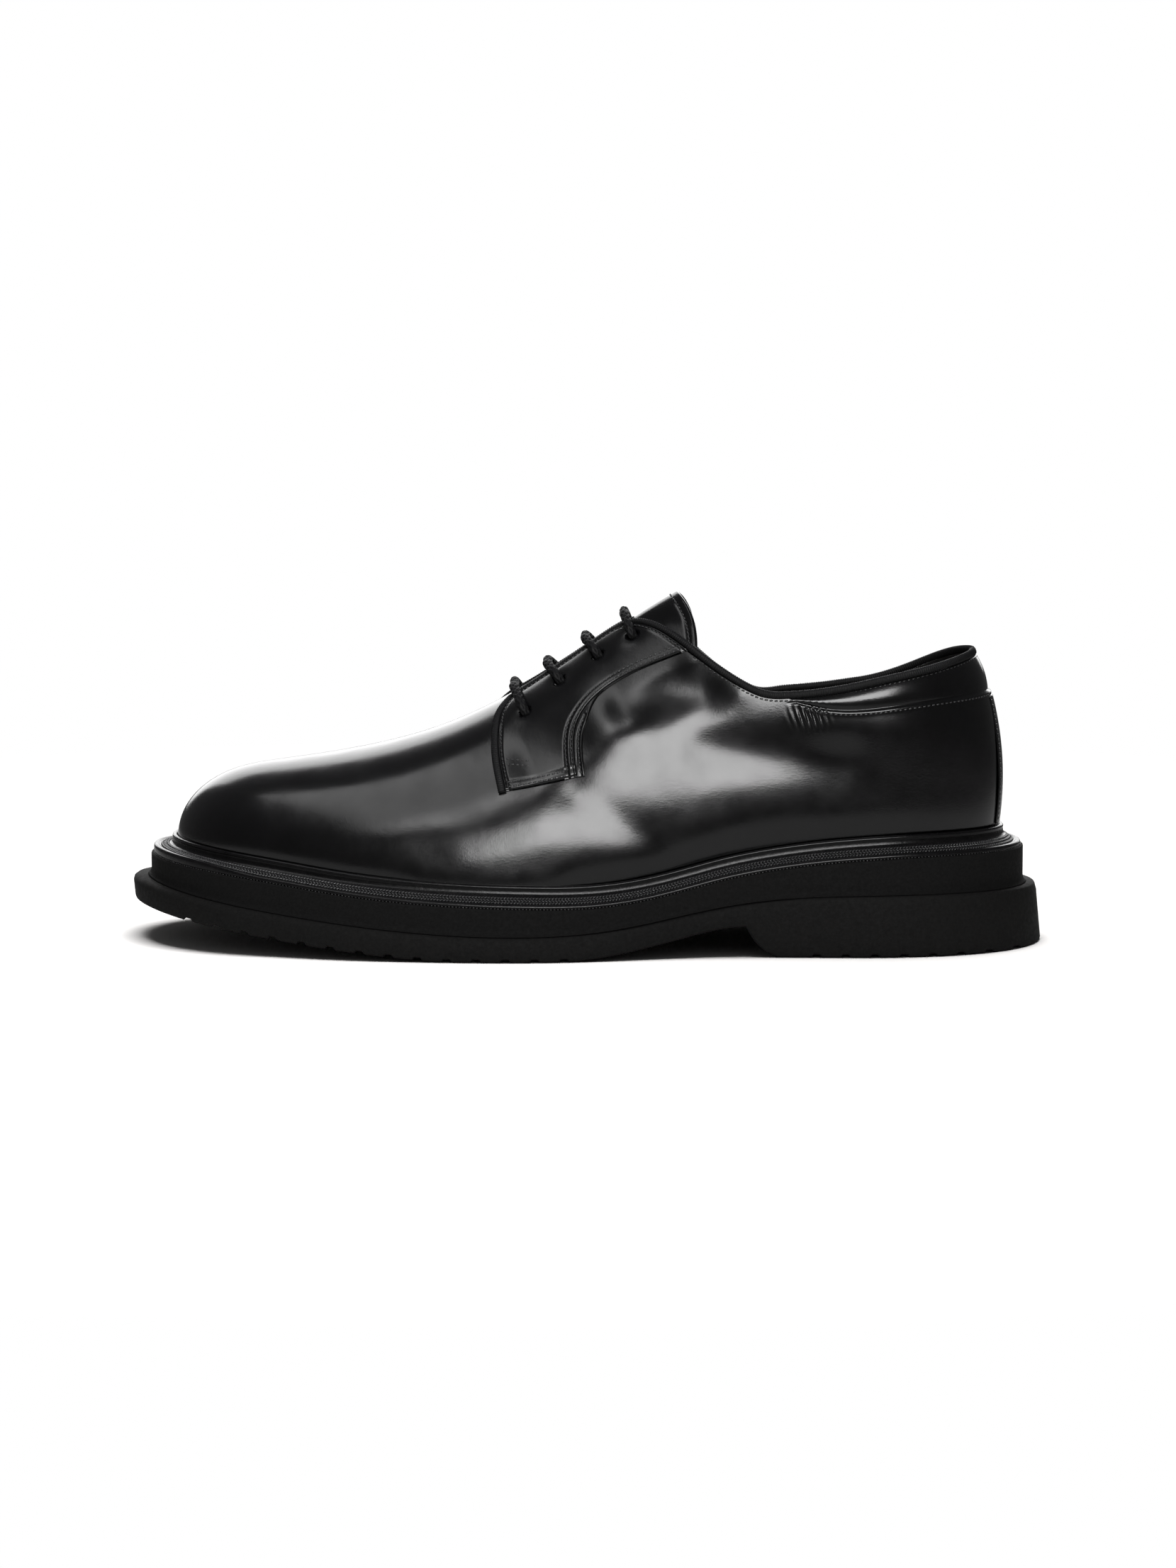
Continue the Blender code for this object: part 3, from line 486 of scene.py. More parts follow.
def quads_of(rows, columns, wrap_rows=False, wrap_columns=False):
    ids = np.arange(rows * columns).reshape(rows, columns)
    if wrap_rows:
        ids = np.concatenate((ids, ids[:1]))
    if wrap_columns:
        ids = np.concatenate((ids, ids[:, :1]), axis=1)
    return np.stack((ids[:-1, :-1], ids[:-1, 1:], ids[1:, 1:], ids[1:, :-1]), axis=-1).reshape(-1, 4)


def dress(piece, slot, *nodes):
    """Puts a finished piece on the shoe's one body in place of its solids."""
    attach(piece, "root")
    if nodes:
        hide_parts(*nodes)


# Materials

class Shade:
    """A node material: constants go on the shader's sockets, patterns are linked."""

    def __init__(self, name, constants):
        self.material = bpy.data.materials.new(name)
        self.material.use_nodes = True
        self.tree = self.material.node_tree
        self.shader = next(n for n in self.tree.nodes if n.type == "BSDF_PRINCIPLED")
        for socket, value in constants.items():
            self.shader.inputs[socket].default_value = value
        self.place = self.node("ShaderNodeTexCoord", {}).outputs["Object"]
        self.normal = None

    def link(self, output, socket):
        self.tree.links.new(output, self.shader.inputs[socket])

    def node(self, kind, inputs, **settings):
        """A new node, with a value or another node's output on each named input."""
        made = self.tree.nodes.new(kind)
        for key, value in settings.items():
            setattr(made, key, value)
        for socket, value in inputs.items():
            if isinstance(value, bpy.types.NodeSocket):
                self.tree.links.new(value, made.inputs[socket])
            else:
                made.inputs[socket].default_value = value
        return made

    def noise(self, size, detail=2.0, rough=0.5, stretch=None):
        """Noise whose lumps are about size millimetres across."""
        place = self.place
        if stretch is not None:
            place = self.node("ShaderNodeMapping", {"Vector": place, "Scale": stretch}).outputs["Vector"]
        inputs = {"Vector": place, "Scale": 1.0 / (size * MM), "Detail": detail, "Roughness": rough}
        return self.node("ShaderNodeTexNoise", inputs).outputs["Fac"]

    def cells(self, size):
        """Distance from the middle of cells about size millimetres across."""
        inputs = {"Vector": self.place, "Scale": 1.0 / (size * MM)}
        return self.node("ShaderNodeTexVoronoi", inputs, feature="F1").outputs["Distance"]

    def between(self, source, low, high, at_low=0.3, at_high=0.7):
        inputs = {"Value": source, "From Min": at_low, "From Max": at_high, "To Min": low, "To Max": high}
        return self.node("ShaderNodeMapRange", inputs).outputs["Result"]

    def colours(self, source, low, high, at_low=0.3, at_high=0.7):
        ramp = self.node("ShaderNodeValToRGB", {"Fac": source})
        for element, place, colour in zip(ramp.color_ramp.elements, (at_low, at_high), (low, high)):
            element.position = place
            element.color = (*colour, 1.0)
        self.link(ramp.outputs["Color"], "Base Color")

    def bump(self, source, height):
        """Bump of that many millimetres between the pattern's 0 and 1."""
        inputs = {"Strength": 1.0, "Distance": height * MM, "Height": source}
        if self.normal is not None:
            inputs["Normal"] = self.normal
        self.normal = self.node("ShaderNodeBump", inputs).outputs["Normal"]
        self.link(self.normal, "Normal")


def surface(name, ior, specular, colour, roughness, bumps):
    """A material with noise between two colours and two roughnesses, and bumps in millimetres."""
    shade = Shade(name, {"IOR": ior, "Specular IOR Level": specular})
    noise, low, high = colour
    shade.colours(shade.noise(*noise), low, high)
    noise, low, high = roughness
    shade.link(shade.between(shade.noise(*noise), low, high), "Roughness")
    patterns = {"noise": shade.noise, "cells": shade.cells}
    for kind, values, height in bumps:
        shade.bump(patterns[kind](*values), height)
    return shade.material


LEATHER = surface(
    "polished_leather", 1.5, 0.5,
    ((14.0,), (0.002, 0.002, 0.0023), (0.0035, 0.0035, 0.004)),
    ((9.0, 3.0), 0.16, 0.22),
    (("noise", (4.0, 2.0), 0.020), ("noise", (1.0, 2.0, 0.5, (0.7, 1.0, 1.5)), 0.009),
     ("cells", (0.42,), 0.006), ("noise", (0.22, 3.0), 0.004)),
)
LINING = surface(
    "lining_leather", 1.45, 0.4,
    ((6.0, 4.0), (0.020, 0.019, 0.019), (0.034, 0.032, 0.031)),
    ((3.0, 3.0), 0.50, 0.66),
    (("cells", (0.6,), 0.05), ("noise", (0.2, 3.0), 0.02)),
)
TAPE = surface(
    "ribbed_tape", 1.45, 0.3,
    ((0.35, 3.0), (0.003, 0.003, 0.0035), (0.010, 0.010, 0.011)),
    ((0.5, 2.0), 0.48, 0.66),
    (("noise", (0.16, 2.0), 0.03),),
)
LACE = surface(
    "lace_cord", 1.45, 0.3,
    ((0.4, 3.0), (0.003, 0.003, 0.0035), (0.009, 0.009, 0.010)),
    ((0.4, 2.0), 0.50, 0.70),
    (("noise", (0.12, 2.0), 0.03),),
)
THREAD = surface(
    "waxed_thread", 1.5, 0.7,
    ((0.5, 2.0), (0.014, 0.014, 0.015), (0.040, 0.040, 0.042)),
    ((0.4, 2.0), 0.22, 0.34),
    (("noise", (0.14, 2.0), 0.03),),
)
WELT = surface(
    "welt_leather", 1.48, 0.25,
    ((4.0, 4.0), (0.003, 0.003, 0.0035), (0.007, 0.0066, 0.007)),
    ((1.2, 4.0), 0.20, 0.28),
    (("noise", (0.5, 3.0), 0.02), ("noise", (2.5, 2.0), 0.04)),
)
FOAM = surface(
    "sole_foam", 1.45, 0.15,
    ((0.7, 5.0, 0.7), (0.0035, 0.0035, 0.0035), (0.0075, 0.0075, 0.0075)),
    ((1.0, 3.0), 0.70, 0.85),
    (("noise", (0.35, 4.0), 0.05), ("noise", (5.0, 2.0), 0.10)),
)
RUBBER = surface(
    "sole_rubber", 1.5, 0.15,
    ((0.8, 5.0, 0.7), (0.0035, 0.0035, 0.0035), (0.008, 0.0078, 0.0076)),
    ((1.4, 3.0), 0.68, 0.84),
    (("noise", (0.4, 4.0), 0.06), ("noise", (6.0, 2.0), 0.12)),
)
SOCK = surface(
    "insole_sock", 1.45, 0.35,
    ((9.0, 4.0), (0.022, 0.020, 0.019), (0.038, 0.035, 0.032)),
    ((5.0, 3.0), 0.48, 0.62),
    (("cells", (0.7,), 0.05),),
)


# Upper

TOE_COLUMNS = 56
MIDDLE_STEP = 0.95
FINE_STEP = 0.35
FINE_REACH = 8.5
HEEL_COLUMNS = 72
ROWS_BELOW = 68
ROWS_ABOVE = 24
SPLIT_SHARE = 0.73
SPLIT_RISE_FROM = 20.0
INNER_SKIP = 4
COLLAR_PAD = 0.75
SEAM_ROLL = 0.22
SEAM_ROLL_BACK = 0.5
SEAM_ROLL_WIDTH = 0.9
LINE_SAMPLES = 241


def toe_stations(count):
    return TOE_TIP + (TOE_START - TOE_TIP) * (1.0 - np.cos(np.linspace(0.0, math.pi / 2, count)))


def upper_places():
    """The upper's columns: sections from toe to heel, then turns round the heel."""
    count = int((HEEL_START - TOE_START) / MIDDLE_STEP)
    middle = np.linspace(TOE_START, HEEL_START, count + 1)[1:]
    middle[np.argmin(np.abs(middle - THROAT_FRONT))] = THROAT_FRONT
    fine = np.arange(PUCKER_AT[0] - FINE_REACH, PUCKER_AT[0] + FINE_REACH, FINE_STEP)
    middle = np.sort(np.concatenate((middle[np.abs(middle - PUCKER_AT[0]) > FINE_REACH + FINE_STEP], fine)))
    heel = np.linspace(0.0, math.pi / 2, HEEL_COLUMNS + 1)[1:]
    sections = np.concatenate((toe_stations(TOE_COLUMNS), middle))
    return [("section", float(x)) for x in sections] + [("heel", float(turn)) for turn in heel]


def upper_line(kind, place, side):
    """A dense line up the upper at one column, from the feather line to its top."""
    if kind == "section":
        top = math.pi / 2
        if place > THROAT_FRONT:
            top = float(angle_of(place, edge_height(place, side)))
        return at_angle(place, np.linspace(0.0, top, LINE_SAMPLES), side)
    low = float(feather(at_heel(place, HEEL_FEATHER_GUESS, side)[0]))
    high = float(heel_edge_height(place, side))
    return at_heel(place, np.linspace(low, high, LINE_SAMPLES), side)


def split_share(kind, place, line, side):
    """Share of a column's length where the collar seam crosses it, or a stand-in further forward."""
    length = arc(line)
    under = seam_level(line[:, 0], side) - line[:, 2]
    if kind == "heel" or place >= SEAM_START:
        return float(np.interp(0.0, -under, length / length[-1]))
    ease = float(smooth_step((place - SPLIT_RISE_FROM) / (SEAM_START - SPLIT_RISE_FROM)))
    return SPLIT_SHARE + ease * (start_shares[side] - SPLIT_SHARE)


def upper_column(kind, place, side):
    """Points of one column and how far its leather stands off them at the collar seam."""
    line = upper_line(kind, place, side)
    length = arc(line)[-1]
    if length < 1e-3:
        rows = ROWS_BELOW + ROWS_ABOVE + 2
        return np.repeat(line[:1], rows, axis=0), np.zeros(rows)
    split = split_share(kind, place, line, side) * length
    step = min(SEAM_HALF_WIDTH, 0.1 * (length - split), 0.1 * split)
    below = np.linspace(0.0, split - step, ROWS_BELOW + 1)
    above = np.linspace(split + step, length, ROWS_ABOVE + 1)
    points = along(line, np.concatenate((below, above)))
    fade = 1.0 if kind == "heel" else float(seam_fade(place))
    share = np.linspace(0.0, 1.0, ROWS_ABOVE + 1)
    collar = -SEAM_STEP + COLLAR_PAD * np.sin(math.pi * share) ** 0.8
    roll = SEAM_ROLL * hill((split - below - SEAM_ROLL_BACK) / SEAM_ROLL_WIDTH)
    return points, fade * np.concatenate((roll, collar))


start_shares = {side: split_share("section", SEAM_START, upper_line("section", SEAM_START, side), side)
                for side in SIDES}


def punched(points, centre, radius):
    """Grid points round a hole moved on to its rim, and the faces that stay."""
    far = np.linalg.norm(points - centre, axis=-1)
    inside = far < radius
    keep = ~(inside[:-1, :-1] | inside[1:, :-1] | inside[:-1, 1:] | inside[1:, 1:])
    rim = np.zeros(far.shape, bool)
    for rows, columns in ((slice(0, -1), slice(0, -1)), (slice(1, None), slice(0, -1)),
                          (slice(0, -1), slice(1, None)), (slice(1, None), slice(1, None))):
        rim[rows, columns] |= ~keep
    rim &= ~inside
    moved = points.copy()
    away = points[rim] - centre
    moved[rim] = centre + away * (radius / np.linalg.norm(away, axis=-1, keepdims=True))
    return moved, keep


def rim_pairs(keep):
    """Grid edges between faces that stay and faces that are cut away, as pairs of point ids."""
    rows, columns = keep.shape
    ids = np.arange((rows + 1) * (columns + 1)).reshape(rows + 1, columns + 1)
    pairs = []
    across = keep[:, :-1] != keep[:, 1:]
    for i, j in np.argwhere(across):
        pairs.append((ids[i, j + 1], ids[i + 1, j + 1]))
    down = keep[:-1] != keep[1:]
    for i, j in np.argwhere(down):
        pairs.append((ids[i + 1, j], ids[i + 1, j + 1]))
    return pairs


def hole_centres(side):
    return [at_angle(x, float(angle_of(x, lowered(x, z, side))), side) for x, z in LACE_HOLES]


def build_upper():
    net = Net()
    places = upper_places()
    throat = [i for i, (kind, x) in enumerate(places) if kind == "section" and x >= THROAT_FRONT][0]
    for side in SIDES:
        columns = [upper_column(kind, place, side) for kind, place in places]
        base = np.stack([column[0] for column in columns])
        step = np.stack([column[1] for column in columns])
        outer = on_leather(base, side, step)
        inner_rows = list(range(0, ROWS_BELOW + ROWS_ABOVE + 1, INNER_SKIP)) + [ROWS_BELOW + ROWS_ABOVE + 1]
        inner = lifted(base[:, inner_rows], side, -WALL)
        flat = normals(base[:, 0], side) * (1.0, 1.0, 0.0)
        inner[:, 0] = base[:, 0] - unit(flat) * WALL
        outer[0] = base[0, 0]
        inner[0] = inner[0, 0]
        net.sheet(outer, slot=0)
        net.sheet(inner, slot=1)
        net.strip(outer[:, 0], inner[:, 0], slot=1)
        net.strip(outer[throat:, -1], inner[throat:, -1], slot=1)
    dress(net.make("upper_skin", LEATHER, LINING), "upper_leather", "upper")


# Facings

STITCH_ROWS_REAR = (1.2, 3.1)
STITCH_ROWS_LOW = (1.2, 2.8)
STITCH_ROW_EDGE = 1.0
STITCH_GROOVE = 0.16
GROOVE_WIDTH = 0.5
GROOVE_WIDE = 0.55
FACING_ROUND = 0.8
FACING_COLUMNS = 120
FACING_ROWS = 110
DIMPLE_DEPTH = 0.55
DIMPLE_WIDTH = 3.4
SKIN_GAP = 0.06
ANGLE_SCALE = 45.0


def close_rim(net, outer, inner):
    """Joins the four edges of two grids of the same size."""
    net.strip(outer[0], inner[0])
    net.strip(outer[-1], inner[-1])
    net.strip(outer[:, 0], inner[:, 0])
    net.strip(outer[:, -1], inner[:, -1])


def plate(net, outer, inner):
    """A curved plate between two grids of the same size."""
    net.sheet(outer)
    net.sheet(inner)
    close_rim(net, outer, inner)


def edge_line(start, side_view, shares, side):
    """A facing's edge as x and angle, at shares of its length from a start on the top line."""
    start = (start, float(angle_of(start, facing_edge(start, side))))
    places = [start] + [(x, float(angle_of(x, lowered(x, z, side)))) for x, z in side_view]
    places = np.asarray(places, float)
    girth = arc(places * (1.0, ANGLE_SCALE))
    girth = girth / girth[-1]
    return np.stack((natural_spline(girth, places[:, 0])(shares),
                     natural_spline(girth, places[:, 1])(shares)), axis=-1)


def facing_base(side):
    """A grid of points on the smooth last between a facing's four edges."""
    a = np.linspace(0.0, 1.0, FACING_COLUMNS + 1)
    b = np.linspace(0.0, 1.0, FACING_ROWS + 1)
    top_x = FACING_FRONT_X + (FACING_REAR_X - FACING_FRONT_X) * a
    top = np.stack((top_x, angle_of(top_x, facing_edge(top_x, side))), axis=-1)
    front = edge_line(FACING_FRONT_X, FACING_FRONT, b, side)
    rear = edge_line(FACING_REAR_X, FACING_REAR, b, side)
    low_x = front[-1, 0] + (rear[-1, 0] - front[-1, 0]) * a
    low = np.stack((low_x, front[-1, 1] + (rear[-1, 1] - front[-1, 1]) * a), axis=-1)
    a = a[None, :, None]
    b = b[:, None, None]
    ruled_down = (1 - b) * top[None] + b * low[None]
    ruled_along = (1 - a) * front[:, None] + a * rear[:, None]
    corners = (1 - a) * (1 - b) * top[0] + a * (1 - b) * top[-1] + (1 - a) * b * low[0] + a * b * low[-1]
    places = ruled_down + ruled_along - corners
    return at_angle(places[..., 0], places[..., 1], side)


def quarter_round(distance, radius):
    return np.sqrt(1.0 - (1.0 - np.clip(distance / radius, 0.0, 1.0)) ** 2)


def grid_distances(base):
    """Distances over the surface from each grid point to the four edges: top, low, front, rear."""
    down = np.linalg.norm(np.diff(base, axis=0), axis=-1)
    across = np.linalg.norm(np.diff(base, axis=1), axis=-1)
    top = np.concatenate((np.zeros((1, base.shape[1])), np.cumsum(down, axis=0)))
    front = np.concatenate((np.zeros((base.shape[0], 1)), np.cumsum(across, axis=1)), axis=1)
    return top, top[-1:] - top, front, front[:, -1:] - front


def build_facing(side):
    base = facing_base(side)
    keep = np.ones((base.shape[0] - 1, base.shape[1] - 1), bool)
    for centre in hole_centres(side):
        base, stays = punched(base, centre, HOLE_RADIUS)
        keep &= stays
    top, low, front, rear = grid_distances(base)
    edge = np.minimum(quarter_round(rear, FACING_ROUND), quarter_round(low, FACING_ROUND))
    level = SKIN_GAP + FACING_THICK * edge
    for place in STITCH_ROWS_REAR:
        level = level - STITCH_GROOVE * hill((rear - place) / GROOVE_WIDE)
    for place in STITCH_ROWS_LOW:
        level = level - STITCH_GROOVE * hill((low - place) / GROOVE_WIDTH)
    level = level - STITCH_GROOVE * hill((np.minimum(top, front) - STITCH_ROW_EDGE) / GROOVE_WIDTH)
    for centre in hole_centres(side):
        far = np.linalg.norm(base - centre, axis=-1)
        level = level - DIMPLE_DEPTH * hill(far / DIMPLE_WIDTH)
    outer = on_leather(base, side, level)
    inner = on_leather(base, side, SKIN_GAP)
    net = Net()
    net.sheet(outer, keep=keep)
    net.sheet(inner, keep=keep)
    flat_outer, flat_inner = outer.reshape(-1, 3), inner.reshape(-1, 3)
    for a, b in rim_pairs(keep):
        net.add((flat_outer[a], flat_outer[b], flat_inner[b], flat_inner[a]), ((0, 1, 2, 3),))
    close_rim(net, outer, inner)
    name = "facing_%s" % SIDE_NAMES[side]
    dress(net.make(name + "_skin", LEATHER), "upper_leather", name)


UNDERLAY_WIDTH = 2.5
UNDERLAY_THICK = 0.55
UNDERLAY_TOP = 86.0
UNDERLAY_FADE = 10.0
UNDERLAY_STITCH = 1.15
UNDERLAY_GROOVE = 0.14
UNDERLAY_GROOVED = 2.0
UNDERLAY_SEWN = 1.6
UNDERLAY_ROUND = 0.5
UNDERLAY_TUCK = (-1.2, -0.3)


def underlay_lines(side, places):
    """Lines beside the lower part of a facing's rear edge, at shares of the strip's width."""
    edge = facing_base(side)[:, -1]
    edge = evenly(edge[edge[:, 2] < UNDERLAY_TOP], 0.3)
    run = unit(np.gradient(edge[:, (0, 2)], axis=0))
    away = np.stack((-run[:, 1], run[:, 0]), axis=-1)
    width = UNDERLAY_WIDTH * smooth_step((UNDERLAY_TOP - edge[:, 2]) / UNDERLAY_FADE)
    lines = []
    for share in places:
        reach_out = np.where(share < 0.0, share, share * width)[:, None]
        spot = edge[:, (0, 2)] + away * reach_out
        lines.append(at_side(spot[:, 0], spot[:, 1], side))
    return np.stack(lines), width


def build_underlays():
    """The folded strip that shows beside the lower part of each facing's rear edge."""
    shares = np.concatenate((UNDERLAY_TUCK, np.linspace(0.0, 1.0, 15)))
    for side in SIDES:
        base, width = underlay_lines(side, shares)
        left = width * (1.0 - np.maximum(shares, 0.0))[:, None]
        level = SKIN_GAP + UNDERLAY_THICK * quarter_round(left, UNDERLAY_ROUND)
        groove = UNDERLAY_GROOVE * hill((shares[:, None] * width - UNDERLAY_STITCH) / GROOVE_WIDTH)
        net = Net()
        plate(net, on_leather(base, side, level - np.where(width > UNDERLAY_GROOVED, groove, 0.0)),
              on_leather(base, side, SKIN_GAP))
        dress(net.make("underlay_%s" % SIDE_NAMES[side], LEATHER), "upper_leather")


# Edge binding

RIB_PITCH = 0.78
RIB_SAMPLES = 4
RIB_HEIGHT = 0.10
TAPE_SIDES = 14
TAPE_POWER = 2.6


def binding_path(side):
    """The cut edge from the facing's front corner over ridge and collar to the back seam."""
    front = edge_line(FACING_FRONT_X, FACING_FRONT, np.linspace(1.0, 0.0, 80)[:-1], side)
    top_x = np.linspace(FACING_FRONT_X, HEEL_START, 420)
    top = np.stack((top_x, angle_of(top_x, facing_edge(top_x, side))), axis=-1)
    flat = np.concatenate((front, top))
    turns = np.linspace(0.0, math.pi / 2, 120)[1:]
    back = at_heel(turns, heel_edge_height(turns, side), side)
    return np.concatenate((at_angle(flat[:, 0], flat[:, 1], side), back))


def binding_sections(side):
    """Rings of the ribbed tape along the cut edge of one side."""
    path = evenly(binding_path(side), RIB_PITCH / RIB_SAMPLES)
    out = normals(path, side)
    run = np.gradient(path, axis=0)
    run[-1] = (0.0, -side, 0.0)
    run -= out * np.sum(run * out, axis=1, keepdims=True)
    run = unit(run)
    beyond = np.cross(run, out) * side
    x = path[:, 0]
    on_vamp = 1.0 - smooth_step((x - BEAD_CLEAR_FROM) / BEAD_CLEAR_LENGTH)
    on_facing = 1.0 - smooth_step((x - FACING_REAR_X + BEAD_STEP_BACK) / BEAD_STEP_LENGTH)
    low = -WALL - BEAD_INNER + on_vamp * (WALL + BEAD_INNER + SKIN_GAP)
    high = BEAD_PROUD + on_facing * (SKIN_GAP + FACING_THICK)
    high = high - SEAM_STEP * seam_fade(x) + relief(path)
    turns = np.arange(TAPE_SIDES) * 2.0 * math.pi / TAPE_SIDES
    ring_e, ring_n = np.cos(turns), np.sin(turns)
    round_e = np.sign(ring_e) * np.abs(ring_e) ** (2.0 / TAPE_POWER)
    round_n = np.sign(ring_n) * np.abs(ring_n) ** (2.0 / TAPE_POWER)
    rib = RIB_HEIGHT * np.cos(arc(path) / RIB_PITCH * 2.0 * math.pi)
    half_e = BEAD_WIDTH / 2 + rib
    half_n = (high - low) / 2 + rib
    e = SKIN_GAP + BEAD_WIDTH / 2 + half_e[:, None] * round_e
    n = ((high + low) / 2)[:, None] + half_n[:, None] * round_n
    return path[:, None] + beyond[:, None] * e[..., None] + out[:, None] * n[..., None]


def build_binding():
    net = Net()
    both = np.concatenate((binding_sections(LATERAL), binding_sections(MEDIAL)[-2::-1]))
    net.sheet(both, wrap_columns=True)
    net.ends(both)
    dress(net.make("edge_tape", TAPE), "binding_tape", "edge_binding")


# Tongue and backstay

TONGUE_STITCH = 2.5
TONGUE_HALF_WIDTH = 34.0
TONGUE_ROUND = 0.7
TONGUE_GROOVE = 0.18


def tongue_arch(x, w):
    places, widths, rises = np.transpose(TONGUE_ARCH_TABLE)
    share = np.clip(w / natural_spline(places, widths)(x), -1.0, 1.0)
    rise = np.where(x > places[0], natural_spline(places, rises)(x), 0.0)
    return rise * (1.0 - share * share) ** 2


def tongue_surface(stations, across, depth):
    """Points of the tongue below its top face, over stations along and places across it."""
    x, w = np.meshgrid(stations, across, indexing="ij")
    angle = np.radians(90.0 - TONGUE_SPAN * np.abs(w))
    level = -WALL - TONGUE_CLEAR + tongue_arch(x, w) - depth
    place = x + TONGUE_LEAN * smooth_step(np.abs(w))
    points = np.empty(x.shape + (3,))
    for side in SIDES:
        part = (w < 0) if side == LATERAL else (w >= 0)
        base = at_angle(place[part], angle[part], side)
        points[part] = lifted(base, side, level[part])
    return points


def build_tongue():
    stations = TONGUE_FRONT + (TONGUE_BACK - TONGUE_FRONT) * np.sin(np.linspace(0.0, math.pi / 2, 90))
    across = np.sin(np.linspace(-math.pi / 2, math.pi / 2, 81))
    x, w = np.meshgrid(stations, across, indexing="ij")
    to_end = TONGUE_BACK - x
    to_side = (1.0 - np.abs(w)) * TONGUE_HALF_WIDTH
    edge = np.minimum(quarter_round(to_end, TONGUE_ROUND), quarter_round(to_side, TONGUE_ROUND))
    groove = TONGUE_GROOVE * hill((to_end - TONGUE_STITCH) / GROOVE_WIDE)
    half = TONGUE_THICK / 2
    net = Net()
    plate(net, tongue_surface(stations, across, half - half * edge + groove),
          tongue_surface(stations, across, half + half * edge))
    dress(net.make("tongue_skin", LEATHER), "upper_leather", "tongue")


BACKSTAY_ROUND = 0.7
BACKSTAY_STITCH = 1.4
BACKSTAY_GROOVE = 0.12


def backstay_grid():
    """Points on the last under the backstay, and their normals."""
    heights = np.linspace(float(feather(HEEL_BACK)) + BACKSTAY_BOTTOM_CLEAR, BACKSTAY_TOP, 90)
    turns = np.linspace(-BACKSTAY_HALF_ANGLE, BACKSTAY_HALF_ANGLE, 61)
    z, turn = np.meshgrid(heights, turns, indexing="ij")
    base = np.empty(z.shape + (3,))
    out = np.empty(z.shape + (3,))
    for side in SIDES:
        part = (turn < 0) if side == LATERAL else (turn >= 0)
        base[part] = at_heel(np.radians(90.0 - np.abs(turn[part])), z[part], side)
        out[part] = normals(base[part], side)
    return base, out


def build_backstay():
    base, out = backstay_grid()
    low, front, rear = grid_distances(base)[1:]
    edge = np.minimum(front, rear)
    rounded = np.minimum(quarter_round(edge, BACKSTAY_ROUND), quarter_round(low, BACKSTAY_ROUND))
    level = BACKSTAY_THICK * rounded - BACKSTAY_GROOVE * hill((edge - BACKSTAY_STITCH) / GROOVE_WIDTH)
    net = Net()
    plate(net, base + out * (SKIN_GAP + level)[..., None], base + out * SKIN_GAP)
    dress(net.make("backstay_skin", LEATHER), "upper_leather", "backstay")


# Laces

BRAID_STRANDS = 5
BRAID_PITCH = 5.6
BRAID_HEIGHT = 0.13
LACE_AROUND = 40
LACE_STEP = 0.16
LACE_DEPTHS = (-3.2, -1.4, 0.5)
LACE_PLACES = (0.86, 0.72, 0.56, 0.38, 0.2)
LACE_BOW = 1.6
LACE_RISE = 0.35
LACE_CLEAR = 0.05


def lace_path(hole_x, hole_z, forward):
    """Middle line of a lace bar, out of one eyelet, over the throat and into the other."""
    rest = SKIN_GAP + FACING_THICK + LACE_RADIUS
    over = rest + BEAD_PROUD + LACE_CLEAR
    points = []
    for side in SIDES:
        hole_angle = float(angle_of(hole_x, lowered(hole_x, hole_z, side)))
        hole = at_angle(hole_x, hole_angle, side)
        out = normals(hole[None], side)[0]
        half = [hole + out * depth for depth in LACE_DEPTHS]
        for w in LACE_PLACES:
            x = hole_x - forward * (1.0 - w ** LACE_BOW)
            angle = math.pi / 2 - (math.pi / 2 - hole_angle) * w
            base = at_angle(x, angle, side)[None]
            lift = rest + (over - rest) * float(smooth_step((1.0 - w) / LACE_RISE))
            sag = LACE_SAG * max(1.0 - (w / LACE_SAG_FROM) ** 2, 0.0)
            half.append(lifted(base, side, lift - sag)[0])
        if side == LATERAL:
            points += half
            middle = at_angle(hole_x - forward, math.pi / 2, side)[None]
            points.append(lifted(middle, side, over - LACE_SAG)[0])
        else:
            points += half[::-1]
    points = np.array(points)
    length = arc(points)
    curves = [natural_spline(length, points[:, k]) for k in range(3)]
    places = np.linspace(0.0, length[-1], int(length[-1] / LACE_STEP))
    return np.stack([curve(places) for curve in curves], axis=-1)


def tube_frame(path):
    """Two cross directions carried along a path without twisting."""
    run = unit(np.gradient(path, axis=0))
    first = np.empty_like(path)
    across = np.cross(run[0], (1.0, 0.2, 0.1))
    for k, direction in enumerate(run):
        across = across - direction * np.dot(across, direction)
        across = across / np.linalg.norm(across)
        first[k] = across
    return first, np.cross(run, first)


def build_laces():
    for number, ((hole_x, hole_z), forward) in enumerate(zip(LACE_HOLES, LACE_FORWARD), start=1):
        path = lace_path(hole_x, hole_z, forward)
        flat, up = tube_frame(path)
        turn = np.arange(LACE_AROUND) * 2.0 * math.pi / LACE_AROUND
        twist = (arc(path) / BRAID_PITCH * 2.0 * math.pi)[:, None]
        right = np.cos(BRAID_STRANDS * (turn + twist / BRAID_STRANDS * 2.0))
        left = np.cos(BRAID_STRANDS * (turn - twist / BRAID_STRANDS * 2.0))
        radius = LACE_RADIUS * (1.0 - BRAID_HEIGHT + BRAID_HEIGHT * np.maximum(right, left))
        away = flat[:, None] * np.cos(turn)[:, None] + up[:, None] * np.sin(turn)[:, None]
        net = Net()
        sections = path[:, None] + away * radius[..., None]
        net.sheet(sections, wrap_columns=True)
        net.ends(sections)
        dress(net.make("lace_%d" % number, LACE), "lace_cord", "lace_bar_%d" % number)


# Sole

LOOP_COUNT = 240


